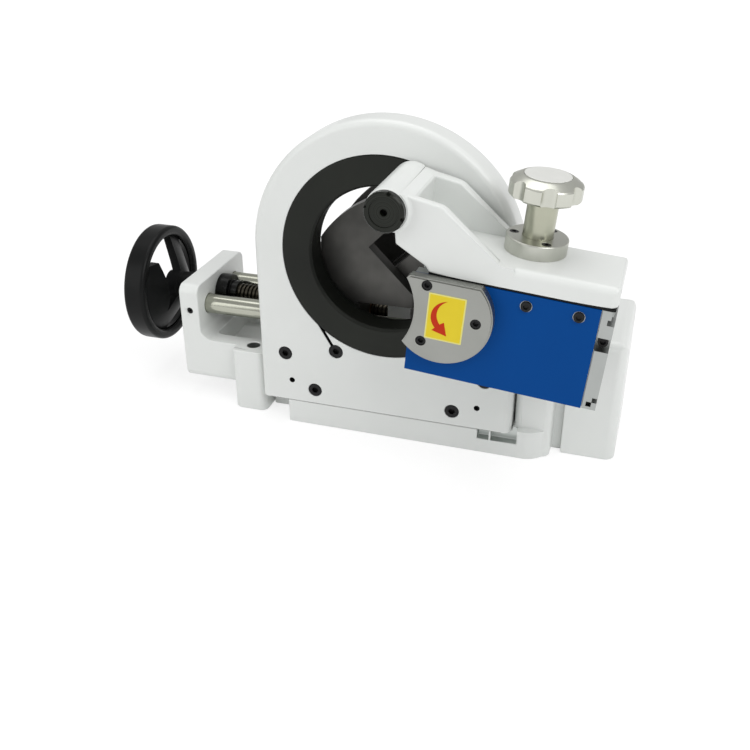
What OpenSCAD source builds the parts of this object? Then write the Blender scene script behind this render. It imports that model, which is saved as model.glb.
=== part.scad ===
// Orbital pipe cutting and bevelling machine with a self-centring bench vice
// Millimetres, +Z up, bench at Z 0, pipe axis along Y at X 0, operator's side at -Y

/* [Frame] */
// Height of the pipe axis above the bench
axis_h = 220; // [215:1:230]
// Distance from the housing's front face back to the vice's centre plane
vice_off = 92; // [91:1:98]
// Radial clearance of parts that turn or slide in one another
run_gap = 0.05; // [0.02:0.01:0.09]
// Clearance between flat faces that move past one another
side_gap = 0.3; // [0.2:0.1:0.5]

/* [Front housing] */
// Outer radius of the arch and half the housing's width
arch_r = 150; // [142:1:151]
// Thickness of the housing
housing_t = 34; // [32:1:34]
// Height of the housing's lower edge above the bench
housing_foot = 30; // [26:1:34]
// Rounding of the housing's front edge
housing_round = 8; // [4:1:10]
// Side distance of the lower housing bolts from the middle
bolt_low_x = 82.5; // [76:0.5:88]
// Height of the lower housing bolts
bolt_low_z = 48; // [45:1:52]
// Side distance of the upper housing bolts from the middle
bolt_high_x = 118; // [112:1:124]
// Height of the upper housing bolts
bolt_high_z = 91.6; // [86:0.2:92]
// Side distance of the dowel pins from the middle
dowel_x = 111; // [106:1:116]
// Height of the dowel pins
dowel_z = 57; // [54:1:62]
// Radius of the dowel pins
dowel_r = 3.2; // [2.5:0.1:4]
// Width of the slit at the ring lock
slit_w = 3.5; // [2:0.5:4]
// Length of the slit from the lock screw towards the ring
slit_l = 38; // [34:1:42]
// Lean of the slit from upright, towards the left
slit_lean = 31; // [26:1:36]
// Distance of the ring lock screw outside the ring
lock_gap = 14.8; // [12:0.2:17]
// Angle of the ring lock screw from straight down, towards the left
lock_ang = 25.3; // [22:0.1:28]

/* [Orbit ring] */
// Outer radius of the ring
ring_r = 115; // [112:1:118]
// Bore radius of the ring
ring_bore_r = 81; // [76:1:83]
// Chamfer at the front of the ring's bore
ring_chamfer = 3; // [1:0.5:5]
// Depth of the ring's wide front part
ring_flange_t = 16; // [15:1:17]
// Radius of the ring where it passes the housing's shoulder
ring_neck_r = 107; // [105:0.5:108]
// Thickness of the housing's shoulder
shoulder_t = 8; // [7:0.5:8]
// Thickness of the retainer ring
retainer_t = 8; // [7:0.5:8]
// Circle radius of the retainer screws
retainer_screw_circle = 94; // [92:1:98]
// Number of retainer screws
retainer_screw_n = 6; // [4:1:8]

/* [Base casting] */
// Half length of the casting
base_half = 265; // [258:1:270]
// Thickness of the left yoke plate
yoke_t = 24.5; // [20:0.5:28]
// Half width of the yoke and of the end block
yoke_half_w = 66; // [62:1:68]
// Height of the yoke plate's top
yoke_top = 148; // [142:1:152]
// Height of the yoke slab's underside
slab_bottom = 24; // [18:1:30]
// Height of the bed floor
slab_top = 70; // [64:1:72]
// Corner rounding of the yoke and of the end block
yoke_round = 11; // [6:1:14]
// Rounding between the yoke plate and its slab
yoke_fillet = 14; // [8:1:18]
// Half width of the pocket in the yoke's slab
pocket_half_w = 44; // [38:1:46]
// Depth of the pocket in the yoke's slab
pocket_d = 25; // [18:1:28]
// Length of the right end block
right_t = 60; // [50:1:62]
// Height of the right end block
right_top = 146; // [140:1:152]
// Half length of the bed at its left end
bed_half = 150; // [146:1:154]
// Thickness of the bed's long walls
bed_wall_t = 14; // [13:0.5:16]
// Height of the bed's long walls
bed_wall_top = 98; // [97:0.2:98]
// Thickness of the bed floor
bed_floor_t = 14; // [10:1:18]
// Side distance of the left bolt ears from the middle
ear_x = 173; // [173:1:176]
// Distance of the right bolt ears from the end block
ear_in = 32; // [29:1:32]
// Distance of the bolt ears from the vice's centre plane
ear_y = 60; // [56:1:62]
// Width of a bolt ear
ear_w = 42; // [36:1:42]
// Corner rounding of a bolt ear
ear_round = 9; // [5:1:12]
// Height of the bolt ears and of the yoke's slab
ear_top = 79; // [74:1:84]
// Hole radius of the bolt ears
ear_hole_r = 8; // [6:0.5:9]
// Left end of the front lip
lip_left = 117; // [105:1:128]
// Side distance of the lip's round right end from the middle
lip_end_x = 164; // [160:1:168]
// Radius of the lip's round right end
lip_end_r = 29; // [25:1:31]
// Height of the lip's right end
lip_end_top = 35; // [31:1:40]
// Left side of the milled notch in the lip
notch_x = 113; // [108:1:118]
// Distance of the rib in the notch from its left side
notch_rib = 13.5; // [11:0.5:16]
// Right side of the milled notch and of the relief beside the housing
notch_right = 158; // [155:0.5:160]
// Height of the relief's top above the bench
relief_top = 56; // [50:1:60]
// Depth of the milled notch below the housing
notch_h = 12; // [8:1:16]
// Depth of the milled notch from the front
notch_d = 10; // [8:1:16]

/* [Guides and screw] */
// Guide rod radius
rod_r = 12; // [11:0.5:12]
// Half distance between the guide rods
rod_half = 36.5; // [35:0.5:38]
// Height of the guide rods
rod_z = 115.5; // [114:0.5:118]
// Height of the vice screw
screw_z = 118.5; // [117:0.5:121]
// Thread radius of the vice screw
screw_r = 11; // [10.5:0.5:12]
// Journal radius of the vice screw
journal_r = 10; // [9:0.5:10]
// Outer radius of the screw's bushes
bush_r = 16; // [14:0.5:17]
// Radius of the black thrust collar
collar_r = 21; // [18:1:23]
// Length of the thrust collar
collar_l = 15; // [12:1:18]
// Half width of the centre block along the screw
mid_half = 14; // [10:1:18]
// Height of the centre block's top
mid_top = 147; // [144:1:149]
// Half width of the centre block across the screw
mid_half_w = 24; // [20:1:24]
// Half width of the centre block's foot
mid_foot_half = 42; // [40:1:43]
// Thickness of the centre block's foot
mid_foot_t = 12; // [9:1:14]

/* [Handwheel] */
// Outer radius of the rim
wheel_r = 73; // [66:1:80]
// Radial thickness of the rim
rim_t = 12; // [9:1:14]
// Width of the rim along the axle
rim_w = 28; // [24:1:32]
// Distance from the hub's inner end to the rim's inner edge
rim_off = 45; // [40:1:48]
// Hub radius
wheel_hub_r = 17; // [15:1:20]
// Hub length
wheel_hub_l = 46; // [42:1:52]
// Radius of the seat on the screw
wheel_seat_r = 8; // [7:0.5:9]
// Half width of the two spokes
spoke_half = 12; // [9:1:18]
// Lean of the spokes from upright
spoke_lean = 28; // [-30:1:30]
// Distance of the folding handle's pocket in front of the axle
flap_off = 28; // [24:1:34]
// Height of the folding handle's pocket above the axle
flap_top = 38; // [30:1:44]

/* [Vice jaws] */
// Rest distance of a V's corner from the pipe axis
apex_x = 27; // [25:0.5:30]
// Half opening of the V measured up from its corner
vee_half = 50; // [46:1:52]
// Distance from the V's corner to the plate's back
plate_back = 56; // [54:1:60]
// Radius of the plate's curved shoulder
shoulder_r = 126; // [118:1:134]
// Side offset of the shoulder's centre from the V's corner
shoulder_cx = 50; // [47:1:53]
// Distance of the shoulder's centre below the axis
shoulder_cz = 62; // [58:1:66]
// Height of the plate's lower edge
plate_foot = 152; // [151:0.5:156]
// Thickness of one V plate
plate_t = 16; // [14:0.5:16]
// Half width of a carriage across the machine
carriage_half_w = 56; // [56:0.5:57]
// Thickness of the carriage's upright back
upright_t = 14; // [12:1:18]
// Height of the carriage's upright back
upright_top = 206; // [196:1:212]
// Distance from the plate's back to the carriage's inner end
carriage_l = 44; // [40:1:46]
// Height of the carriage's underside
carriage_foot = 98.8; // [98.6:0.1:99.2]
// Height of the carriage's top
carriage_top = 149.5; // [146:0.5:150]
// Outer radius of the jaw nuts
nut_r = 17; // [15:0.5:18]
// Height of the lower jaw screws
jaw_screw_low = 165; // [160:1:170]
// Height of the upper jaw screws
jaw_screw_high = 193; // [184:1:196]

/* [Swing arm] */
// Radius of the pivot's circle about the pipe axis
pivot_circle = 98; // [96:0.5:100]
// Angle of the pivot from the top, clockwise
pivot_ang = 20; // [10:1:30]
// Tilt of the tool head, clockwise
head_tilt = 5; // [0:1:10]
// Radius of the pivot pin
pin_r = 10; // [8:0.5:11]
// Depth of the pin in the ring
pin_seat = 14; // [10:1:15]
// Wall of a pivot bush
pivot_bush_t = 3; // [2:0.5:4]
// Radius of the pivot boss
boss_r = 21; // [19:0.5:23]
// Rounding where the boss meets the arm's front wall
boss_fillet = 4.5; // [2:0.5:4.5]
// Distance of the boss's front from the housing's face
boss_front = 99; // [99:1:102]
// Distance of the boss's back from the housing's face
boss_rear = 2; // [1:0.5:3]
// Radius of the pivot nut
pivot_nut_r = 20; // [18:0.5:21]
// Radius of the pivot pin's head
pin_head_r = 14.3; // [12:0.1:15]
// Thickness of the pivot nut
pivot_nut_t = 8; // [6:0.5:9]
// Distance of the arm's front from the housing's face
arm_front = 94; // [93:0.5:96]
// Distance of the arm's back from the housing's face
arm_rear = 5; // [4:0.5:7]
// Thickness of the arm's front wall
front_wall_t = 10; // [8:0.5:12]
// Thickness of the arm's rear wall
rear_wall_t = 12; // [9:0.5:14]
// Right end of the arm's deck from the pivot
deck_right = 224.5; // [218:0.5:228]
// Level of the deck's top below the pivot
deck_top = 35; // [33:0.5:37]
// Level of the deck's underside below the pivot
deck_bottom = 55; // [53:0.5:55]
// Edge rounding of the deck
deck_round = 8; // [4:1:10]
// Left end of the arm's pocket from the pivot
pocket_left = 25.5; // [24:0.5:30]
// End of the pocket's sloping floor from the pivot
slope_end = 49; // [46:1:54]

/* [Slide and feed] */
// Left end of the slide from the pivot
slide_left = 47; // [46:1:52]
// Thickness of the black slide strip
strip_t = 2.5; // [1.5:0.25:2.5]
// Distance of the T rail's middle from the housing's face
rail_off = 70; // [69:0.5:71]
// Half width of the rail's neck
rail_neck = 8; // [6:0.5:9]
// Half width of the rail's foot
rail_foot = 13.5; // [11:0.5:13.5]
// Height of the rail's foot
rail_foot_t = 5; // [4:0.5:5]
// Knob axis, distance right of the pivot
knob_x = 136; // [134:0.5:138]
// Knob axis, distance from the housing's face
knob_off = 35.5; // [35.5:0.25:36.5]
// Radius of the knob flange
flange_r = 30.5; // [29:0.5:30.5]
// Thickness of the knob flange
flange_t = 15; // [12:1:17]
// Circle radius of the flange screws
flange_screw_circle = 23; // [22.5:0.25:24]
// Radius of the feed shaft's sleeve
sleeve_r = 15; // [12:0.5:16]
// Height of the knob's underside above the pivot
knob_low = 19; // [14:1:24]
// Radius of the knob
knob_r = 35; // [31:1:38]
// Height of the knob's gripping rim
knob_h = 16; // [13:1:19]
// Height of the knob's dome
dome_h = 5; // [3:0.5:7]
// Number of finger hollows in the knob
hollow_n = 7; // [5:1:9]
// Radius of a finger hollow
hollow_r = 9; // [7:0.5:11]
// Radius of the disc on the knob
cap_r = 23; // [19:1:24]
// Teeth of the feed pinion
pinion_n = 16; // [14:1:17]
// Tooth module of the feed gearing
tooth_m = 1; // [0.9:0.05:1.05]

/* [Tool block] */
// Left end of the block from the pivot
block_left = 33; // [31:0.5:36]
// Right end of the block from the pivot
block_right = 225; // [220:0.5:228]
// Level of the block's underside below the pivot
block_bottom = 163; // [156:1:168]
// Distance of the block's front from the housing's face
block_front = 90; // [89:0.5:91]
// Distance of the block's back from the housing's face
block_rear = 34; // [33:0.5:36]
// Radius of the round relief about the pipe
relief_r = 64; // [60:0.5:66]
// Thickness of the blue face plate
face_t = 4; // [3:0.5:5]
// Right end of the blue face plate from the pivot
face_right = 211; // [206:0.5:212]
// Level of the face plate screws below the pivot
face_screw_z = 69; // [68:0.5:74]
// Places of the face plate screws right of the pivot
face_screw_x = [142.5, 192];
// Spindle axis, distance right of the pivot
spin_x = 68.2; // [67:0.2:70]
// Radius of the round cover
cover_r = 50; // [46:0.5:51]
// Thickness of the round cover
cover_t = 12; // [9:0.5:14]
// Edge chamfer of the round cover
cover_chamfer = 1.5; // [0.5:0.25:2.5]
// Circle radius of the cover screws
cover_screw_circle = 34; // [31:0.5:36]
// Distance of the cover's middle left of the spindle
cover_left = 2.4; // [0:0.1:4]
// Distance of the cover's middle above the spindle
cover_up = 2.2; // [0:0.1:4]
// Level of the cover's flat top below the pivot
cover_flat = 56.3; // [56:0.1:60]
// Level of the pinch screw below the pivot
pinch_z = 93; // [91:0.5:95]
// Side of the pinch screw's square recess
pinch_side = 14; // [12:0.5:14]
// Radius of the motor socket
socket_r = 21.5; // [20:0.25:22]
// Depth of the motor socket
socket_l = 35; // [30:1:40]
// Distance between the spindle and the worm
worm_off = 33; // [32.5:0.25:34]
// Radius of the worm wheel
wheel_pitch_r = 22; // [20:0.25:22]
// Radius of the worm
worm_r = 10.5; // [9:0.25:10.5]
// Radius of the saw blade
blade_r = 34; // [30:0.5:35]
// Thickness of the saw blade
blade_t = 1.6; // [1.2:0.2:2.4]
// Number of saw teeth
blade_n = 44; // [30:2:60]

/* [Hidden] */
$fn = 64;
eps = 0.01;
face_y = -vice_off;
housing_back = face_y + housing_t;
lock_x = (ring_r + lock_gap) * sin(lock_ang);
lock_z = axis_h - (ring_r + lock_gap) * cos(lock_ang);
pivot_x = pivot_circle * sin(pivot_ang);
pivot_up = pivot_circle * cos(pivot_ang);
pipe_hx = pivot_up * sin(head_tilt) - pivot_x * cos(head_tilt);
pipe_hz = -pivot_x * sin(head_tilt) - pivot_up * cos(head_tilt);
bed_right = base_half - right_t;
ear_rows = [-ear_x, bed_right - ear_in];
trough_y = -housing_back - bed_wall_t;
yoke_in = base_half - yoke_t;
shoulder_y = face_y + ring_flange_t + side_gap;
retainer_y = face_y + ring_flange_t + shoulder_t + 2 * side_gap;
rod_blind = 40;
thread_half = bed_right - 0.4;
journal_end = bed_right + 30;
nut_chamfer = 1.5;
head_t = 4;
collar_hub_r = 14;
collar_hub_l = 10;
wheel_gap = 1;
wheel_x = -base_half - wheel_gap;
plate_gap = 2;
apex_in = -apex_x;
plate_tip = vee_half + 2;
carriage_back = plate_back + upright_t;
front_plate_y = -carriage_half_w;
block_top = -deck_bottom - strip_t - side_gap;
strip_low = -deck_bottom - strip_t;
spin_z = pipe_hz;
worm_z = spin_z - worm_off;
pitch_r = pinion_n * tooth_m / 2;
knob_y = face_y - knob_off;
rack_pitch_y = knob_y - pitch_r;
backlash = 0.25;
rabbet_low = block_top - 18;
rabbet_y = rack_pitch_y - 9;
pinion_low = rabbet_low + 2;
pinion_high = pinion_low + 12;
rack_left = 88;
rack_right = 190;
face_front = block_front + face_t;
cover_front = face_front + cover_t;
land_front = face_front - 1;
bearing_r = 17.5;
bearing_bore = 10;
nose_r = 8;
blade_off = 28;
mid_off = 67;
worm_bore_r = 13;
worm_left = 44;
m10 = [8, 10, 5, 4];
m8 = [6.5, 8, 4, 3.4];
m6 = [5, 6, 3, 2.9];
m5 = [4.3, 5, 2.5, 2.3];
arc_steps = 6;
white = [0.90, 0.91, 0.91];
charcoal = [0.13, 0.14, 0.13];
black = [0.06, 0.06, 0.07];
steel = [0.62, 0.63, 0.65];
bright = [0.80, 0.81, 0.83];
silver = [0.76, 0.77, 0.78];
blue = [0.04, 0.29, 0.60];
bronze = [0.72, 0.52, 0.27];
jaw_grey = [0.30, 0.30, 0.31];

// Helpers that place a flat outline or a cylinder along one axis

module slab_x(x0, x1) {
  translate([x0, 0, 0]) rotate([90, 0, 90]) linear_extrude(x1 - x0) children();
}

module slab_y(y0, y1) {
  translate([0, y1, 0]) rotate([90, 0, 0]) linear_extrude(y1 - y0) children();
}

module slab_z(z0, z1) {
  translate([0, 0, z0]) linear_extrude(z1 - z0) children();
}

module rod_x(y, z, x0, x1, r) {
  translate([x0, y, z]) rotate([0, 90, 0]) cylinder(h = x1 - x0, r = r);
}

module rod_y(x, z, y0, y1, r) {
  translate([x, y0, z]) rotate([-90, 0, 0]) cylinder(h = y1 - y0, r = r);
}

module rod_z(x, y, z0, z1, r) {
  translate([x, y, z0]) cylinder(h = z1 - z0, r = r);
}

module box(x0, x1, y0, y1, z0, z1) {
  translate([x0, y0, z0]) cube([x1 - x0, y1 - y0, z1 - z0]);
}

// Rectangle from its lower left corner with its two upper corners rounded
module crowned(w, h, r) {
  translate([r, 0]) square([w - 2 * r, h]);
  square([w, h - r]);
  for (x = [r, w - r]) translate([x, h - r]) circle(r);
}

// Centred rectangle with four rounded corners
module rounded(w, h, r) {
  square([w - 2 * r, h], center = true);
  square([w, h - 2 * r], center = true);
  for (x = [r - w / 2, w / 2 - r], y = [r - h / 2, h / 2 - r]) translate([x, y]) circle(r);
}

function unit(v) = v / norm(v);

// Arc of radius r that rounds the corner b between a and c
function corner_arc(a, b, c, r) =
  let (
    u = unit(a - b),
    v = unit(c - b),
    half = acos(u * v) / 2,
    mid = b + unit(u + v) * r / sin(half),
    p = b + u * r / tan(half) - mid,
    q = b + v * r / tan(half) - mid,
    start = atan2(p[1], p[0]),
    sweep = (atan2(q[1], q[0]) - start + 540) % 360 - 180
  )
  [for (i = [0:arc_steps])
      mid + r * [cos(start + sweep * i / arc_steps), sin(start + sweep * i / arc_steps)]];

// Outline from rows of x, y and corner radius
function round_path(rows) =
  let (n = len(rows))
  [for (i = [0:n - 1])
    let (a = rows[(i + n - 1) % n], b = rows[i], c = rows[(i + 1) % n])
    each b[2] > 0 ? corner_arc([a[0], a[1]], [b[0], b[1]], [c[0], c[1]], b[2]) : [[b[0], b[1]]]];

// Socket head screw, seat at Z 0, head up; s holds head radius, head height, shank radius, key radius
module cap_screw(s, shank_l) {
  difference() {
    union() {
      cylinder(h = s[1], r = s[0]);
      translate([0, 0, -shank_l]) cylinder(h = shank_l + eps, r = s[2]);
    }
    translate([0, 0, s[1] / 2]) cylinder(h = s[1], r = s[3], $fn = 6);
  }
}

// Screw whose head looks towards the operator
module face_screw(x, y, z, s, shank_l) {
  translate([x, y, z]) rotate([90, 0, 0]) cap_screw(s, shank_l);
}

// Children drawn in the tool head's tilted frame, origin at the pivot
module in_head() {
  translate([pivot_x, 0, axis_h + pivot_up]) rotate([0, head_tilt, 0]) children();
}

// Base casting

module yoke() {
  intersection() {
    slab_y(-yoke_half_w, yoke_half_w) difference() {
      translate([-base_half, slab_bottom]) square([base_half - bed_half + 1, yoke_top - slab_bottom]);
      translate([-yoke_in, ear_top]) {
        translate([yoke_fillet, 0]) square([base_half, yoke_top]);
        translate([0, yoke_fillet]) square([base_half, yoke_top]);
        translate([yoke_fillet, yoke_fillet]) circle(yoke_fillet);
      }
    }
    translate([0, 0, slab_bottom + (yoke_top - slab_bottom) / 2])
      slab_x(-base_half, -bed_half + 1) rounded(2 * yoke_half_w, yoke_top - slab_bottom, yoke_round);
  }
}

// Open pocket in the yoke's slab, under the guide rods
module yoke_pocket() {
  left = -yoke_in + yoke_fillet - 3;
  right = -bed_half - 4;
  translate([(left + right) / 2, 0, 0]) slab_z(ear_top - pocket_d, rod_z)
    rounded(right - left, 2 * pocket_half_w, 10);
}

module end_outer() {
  intersection() {
    slab_x(bed_right, base_half) translate([-yoke_half_w, 0]) crowned(2 * yoke_half_w, right_top, yoke_round);
    slab_y(-yoke_half_w, yoke_half_w)
      translate([bed_right - right_t, 0]) crowned(2 * right_t, right_top, yoke_round);
    slab_z(0, right_top) translate([bed_right, 0]) rounded(2 * right_t, 2 * yoke_half_w, yoke_round);
  }
}

module bed_walls() {
  for (y = [housing_back, trough_y]) box(-bed_half, bed_right, y, y + bed_wall_t, 0, bed_wall_top);
}

module front_lip() {
  box(-lip_left, lip_end_x, face_y, housing_back + 5, 0, housing_foot);
  intersection() {
    rod_z(lip_end_x, face_y + lip_end_r, 0, lip_end_top, lip_end_r);
    box(arch_r + 1, bed_right, face_y, -trough_y, 0, lip_end_top);
  }
}

module ears() {
  difference() {
    for (x = ear_rows, y = [-ear_y, ear_y])
      translate([x, y, 0]) slab_z(0, ear_top) rounded(ear_w, ear_w, ear_round);
    box(-base_half, base_half, -trough_y, trough_y, -1, ear_top + 1);
  }
}

// Milled clearance under the housing's right corner, with a rib left standing in it
module milled_notch() {
  low = housing_foot - notch_h;
  back = face_y + notch_d;
  box(notch_x, notch_x + notch_rib, face_y - 1, back, low, housing_foot + 1);
  box(notch_x + notch_rib + 2, notch_right, face_y - 1, back, low, housing_foot + 1);
  box(arch_r - 1, notch_right, face_y - 1, back, low, relief_top);
}

module base_casting() {
  color(white) difference() {
    union() {
      yoke();
      bed_walls();
      front_lip();
      ears();
    }
    for (x = ear_rows, y = [-ear_y, ear_y]) rod_z(x, y, -1, ear_top + 1, ear_hole_r);
    milled_notch();
    yoke_pocket();
    box(-arch_r, arch_r, face_y - 1, housing_back, housing_foot, axis_h);
    for (y = [-rod_half, rod_half]) rod_x(y, rod_z, -base_half - 1, -yoke_in + 1, rod_r);
    rod_x(0, screw_z, -base_half - 1, -yoke_in + 1, bush_r);
    for (side = [-1, 1]) set_screw_place(side) cylinder(h = yoke_half_w - rod_half + 1, r = m8[2]);
    for (side = [-1, 1]) {
      rod_y(side * bolt_low_x, bolt_low_z, housing_back - 1, housing_back + bed_wall_t - 2, m10[2]);
      rod_y(side * bolt_high_x, bolt_high_z, housing_back - 1, housing_back + bed_wall_t - 2, m10[2]);
      rod_y(side * dowel_x, dowel_z, housing_back - 1, housing_back + bed_wall_t - 2, dowel_r);
    }
  }
}

// Plate between the bed's walls that carries the centre block
module bed_floor() {
  color(white) difference() {
    box(-bed_half + 1, bed_right, -trough_y, trough_y, slab_top - bed_floor_t, slab_top);
    for (y = [-1, 1]) rod_z(0, y * (mid_foot_half - 8), slab_top - bed_floor_t - 1, slab_top + 1, m8[2]);
  }
}

// Hollow block at the bed's right end that holds the rods and the screw's end
module end_block() {
  wall = 14;
  color(white) difference() {
    end_outer();
    for (y = [-rod_half, rod_half]) rod_x(y, rod_z, bed_right - 1, bed_right + rod_blind, rod_r);
    rod_x(0, screw_z, bed_right - 1, journal_end + 2, bush_r);
    box(bed_right + wall, base_half - wall, -yoke_half_w + wall, yoke_half_w - wall, -1, rod_z - 30);
  }
}

module set_screw_place(side) {
  translate([-base_half + yoke_t / 2, side * (rod_half + 2), rod_z]) rotate([-90 * side, 0, 0]) children();
}

module rod_set_screws() {
  screw_l = yoke_half_w - rod_half - rod_r - 2;
  color(black) for (side = [-1, 1]) set_screw_place(side) difference() {
    translate([0, 0, rod_r - 2]) cylinder(h = screw_l, r = m8[2]);
    translate([0, 0, rod_r - 2 + screw_l - m8[2]]) cylinder(h = m8[2] + 1, r = m8[2] / 2, $fn = 6);
  }
}

module guide_rods() {
  color(bright) for (y = [-rod_half, rod_half]) rod_x(y, rod_z, -base_half + 2, bed_right + rod_blind, rod_r);
}

module screw_bushes() {
  color(bronze) difference() {
    union() {
      rod_x(0, screw_z, -base_half, -yoke_in, bush_r);
      rod_x(0, screw_z, bed_right, journal_end, bush_r);
    }
    rod_x(0, screw_z, -base_half - 1, journal_end + 1, journal_r + run_gap);
  }
}

module screw_centre_block() {
  color(white) difference() {
    union() {
      box(-mid_half, mid_half, -mid_half_w, mid_half_w, slab_top, screw_z);
      box(-mid_half, mid_half, -mid_foot_half, mid_foot_half, slab_top, slab_top + mid_foot_t);
      slab_x(-mid_half, mid_half) translate([-mid_half_w, screw_z])
        crowned(2 * mid_half_w, mid_top - screw_z, 12);
    }
    rod_x(0, screw_z, -mid_half - 1, mid_half + 1, screw_r + run_gap);
    for (y = [-1, 1]) rod_z(0, y * (mid_foot_half - 8), slab_top - 1, slab_top + mid_foot_t + 1, m8[2]);
  }
}

module centre_block_screws() {
  color(black) for (y = [-1, 1]) translate([0, y * (mid_foot_half - 8), slab_top + mid_foot_t])
    cap_screw(m8, mid_foot_t + bed_floor_t - 2);
}

// Front housing and what holds it

module front_housing() {
  wall = 2 * arch_r - 2 * housing_round;
  color(white) difference() {
    union() {
      translate([0, housing_back, axis_h]) rotate([90, 0, 0]) rotate_extrude(angle = 180, $fn = 128) {
        square([arch_r - housing_round, housing_t]);
        square([arch_r, housing_t - housing_round]);
        translate([arch_r - housing_round, housing_t - housing_round]) intersection() {
          circle(housing_round);
          square(housing_round);
        }
      }
      slab_z(housing_foot, axis_h) {
        translate([-wall / 2, face_y]) square([wall, housing_t]);
        translate([-arch_r, face_y + housing_round]) square([2 * arch_r, housing_t - housing_round]);
        for (x = [-wall / 2, wall / 2]) translate([x, face_y + housing_round]) circle(housing_round);
      }
    }
    rod_y(0, axis_h, face_y - 1, shoulder_y, ring_r + run_gap, $fn = 128);
    rod_y(0, axis_h, face_y - 1, housing_back + 1, ring_neck_r + side_gap);
    rod_y(0, axis_h, shoulder_y + shoulder_t, housing_back + 1, ring_r + side_gap);
    for (side = [-1, 1]) {
      bolt_hole(side * bolt_low_x, bolt_low_z);
      bolt_hole(side * bolt_high_x, bolt_high_z);
      rod_y(side * dowel_x, dowel_z, face_y - 1, housing_back + 1, dowel_r);
    }
    rod_y(-lock_x, lock_z, face_y - 1, face_y + m10[1] + 1, m10[0] + 0.5);
    rod_y(-lock_x, lock_z, face_y, housing_back - 4, m10[2]);
    translate([-lock_x, face_y - 1, lock_z]) rotate([0, -slit_lean, 0])
      translate([-slit_w / 2, 0, 0]) cube([slit_w, housing_t + 2, slit_l]);
  }
}

module bolt_hole(x, z) {
  rod_y(x, z, face_y - 1, face_y + m10[1], m10[0] + side_gap);
  rod_y(x, z, face_y, housing_back + 1, m10[2] + side_gap);
}

module housing_bolts() {
  color(black) for (side = [-1, 1]) {
    face_screw(side * bolt_low_x, face_y + m10[1], bolt_low_z, m10, housing_t - m10[1] + bed_wall_t - 3);
    face_screw(side * bolt_high_x, face_y + m10[1], bolt_high_z, m10, housing_t - m10[1] + bed_wall_t - 3);
  }
}

module dowel_pins() {
  color(steel) for (side = [-1, 1])
    rod_y(side * dowel_x, dowel_z, face_y + 5, housing_back + bed_wall_t - 3, dowel_r);
}

module ring_lock_screw() {
  color(black) face_screw(-lock_x, face_y + m10[1] + 1, lock_z, m10, housing_t - m10[1] - 6);
}

// Vice screw and handwheel

module lead_screw() {
  color(black) {
    rod_x(0, screw_z, wheel_x - wheel_hub_l, -base_half, wheel_seat_r);
    rod_x(0, screw_z, -base_half, -thread_half, journal_r);
    rod_x(0, screw_z, -thread_half, thread_half, screw_r);
    rod_x(0, screw_z, thread_half, journal_end - 1, journal_r);
  }
}

module thrust_collar() {
  start = -yoke_in + side_gap;
  color(black) difference() {
    union() {
      rod_x(0, screw_z, start, start + collar_l, collar_r);
      rod_x(0, screw_z, start, start + collar_l + collar_hub_l, collar_hub_r);
    }
    rod_x(0, screw_z, start - 1, start + collar_l + collar_hub_l + 1, journal_r);
  }
}

// Half section of the handwheel, hub's inner end at the bottom
module wheel_profile() {
  rim_in = wheel_r - rim_t;
  web_in = wheel_hub_r - 2;
  translate([wheel_seat_r, 0]) square([wheel_hub_r - wheel_seat_r, wheel_hub_l]);
  polygon([[web_in, 26], [rim_in + 2, rim_off + 8], [rim_in + 2, rim_off + 18], [web_in, 38]]);
  translate([wheel_r - rim_t / 2, rim_off + rim_w / 2]) rounded(rim_t, rim_w, rim_t / 2 - 1);
}

// Openings on both sides of the spokes, the front one partly closed by the handle's pocket
module wheel_windows() {
  linear_extrude(rim_off + rim_w) difference() {
    circle(wheel_r - rim_t - 2);
    circle(wheel_hub_r + 3);
    rotate(spoke_lean) square([2 * wheel_r, 2 * spoke_half], center = true);
    translate([-wheel_r, -wheel_r]) square([wheel_r + flap_top, wheel_r - flap_off]);
  }
}

module handwheel() {
  color(black) translate([wheel_x, 0, screw_z]) rotate([0, -90, 0]) difference() {
    rotate_extrude($fn = 128) wheel_profile();
    wheel_windows();
    wheel_screw_place() cylinder(h = wheel_hub_r + 1, r = m6[2]);
  }
}

module wheel_screw_place() {
  translate([0, 0, 14]) rotate([0, 90, 0]) children();
}

module wheel_set_screw() {
  color(steel) translate([wheel_x, 0, screw_z]) rotate([0, -90, 0]) wheel_screw_place() difference() {
    translate([0, 0, wheel_seat_r + side_gap]) cylinder(h = wheel_hub_r - wheel_seat_r - 1, r = m6[2]);
    translate([0, 0, wheel_seat_r + 4]) cylinder(h = wheel_hub_r, r = m6[2] / 2, $fn = 6);
  }
}

// Vice jaws, drawn for the left side and mirrored for the right

module carriage() {
  back = apex_in - carriage_back;
  plates = apex_in - plate_back;
  front = plates + carriage_l;
  difference() {
    union() {
      box(back, front, -carriage_half_w, carriage_half_w, carriage_foot, carriage_top);
      slab_x(back, plates) translate([-carriage_half_w, carriage_foot])
        crowned(2 * carriage_half_w, upright_top - carriage_foot, 10);
    }
    for (y = [-rod_half, rod_half]) rod_x(y, rod_z, back - 1, front + 1, rod_r + run_gap);
    rod_x(0, screw_z, back - 1, front + 1, nut_r);
  }
}

module jaw_nut() {
  back = apex_in - carriage_back;
  color(bronze) difference() {
    union() {
      rod_x(0, screw_z, back, apex_in - plate_back + carriage_l, nut_r);
      rod_x(0, screw_z, back - 6, back, nut_r + 6);
    }
    rod_x(0, screw_z, back - 7, 0, screw_r + run_gap);
  }
}

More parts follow.
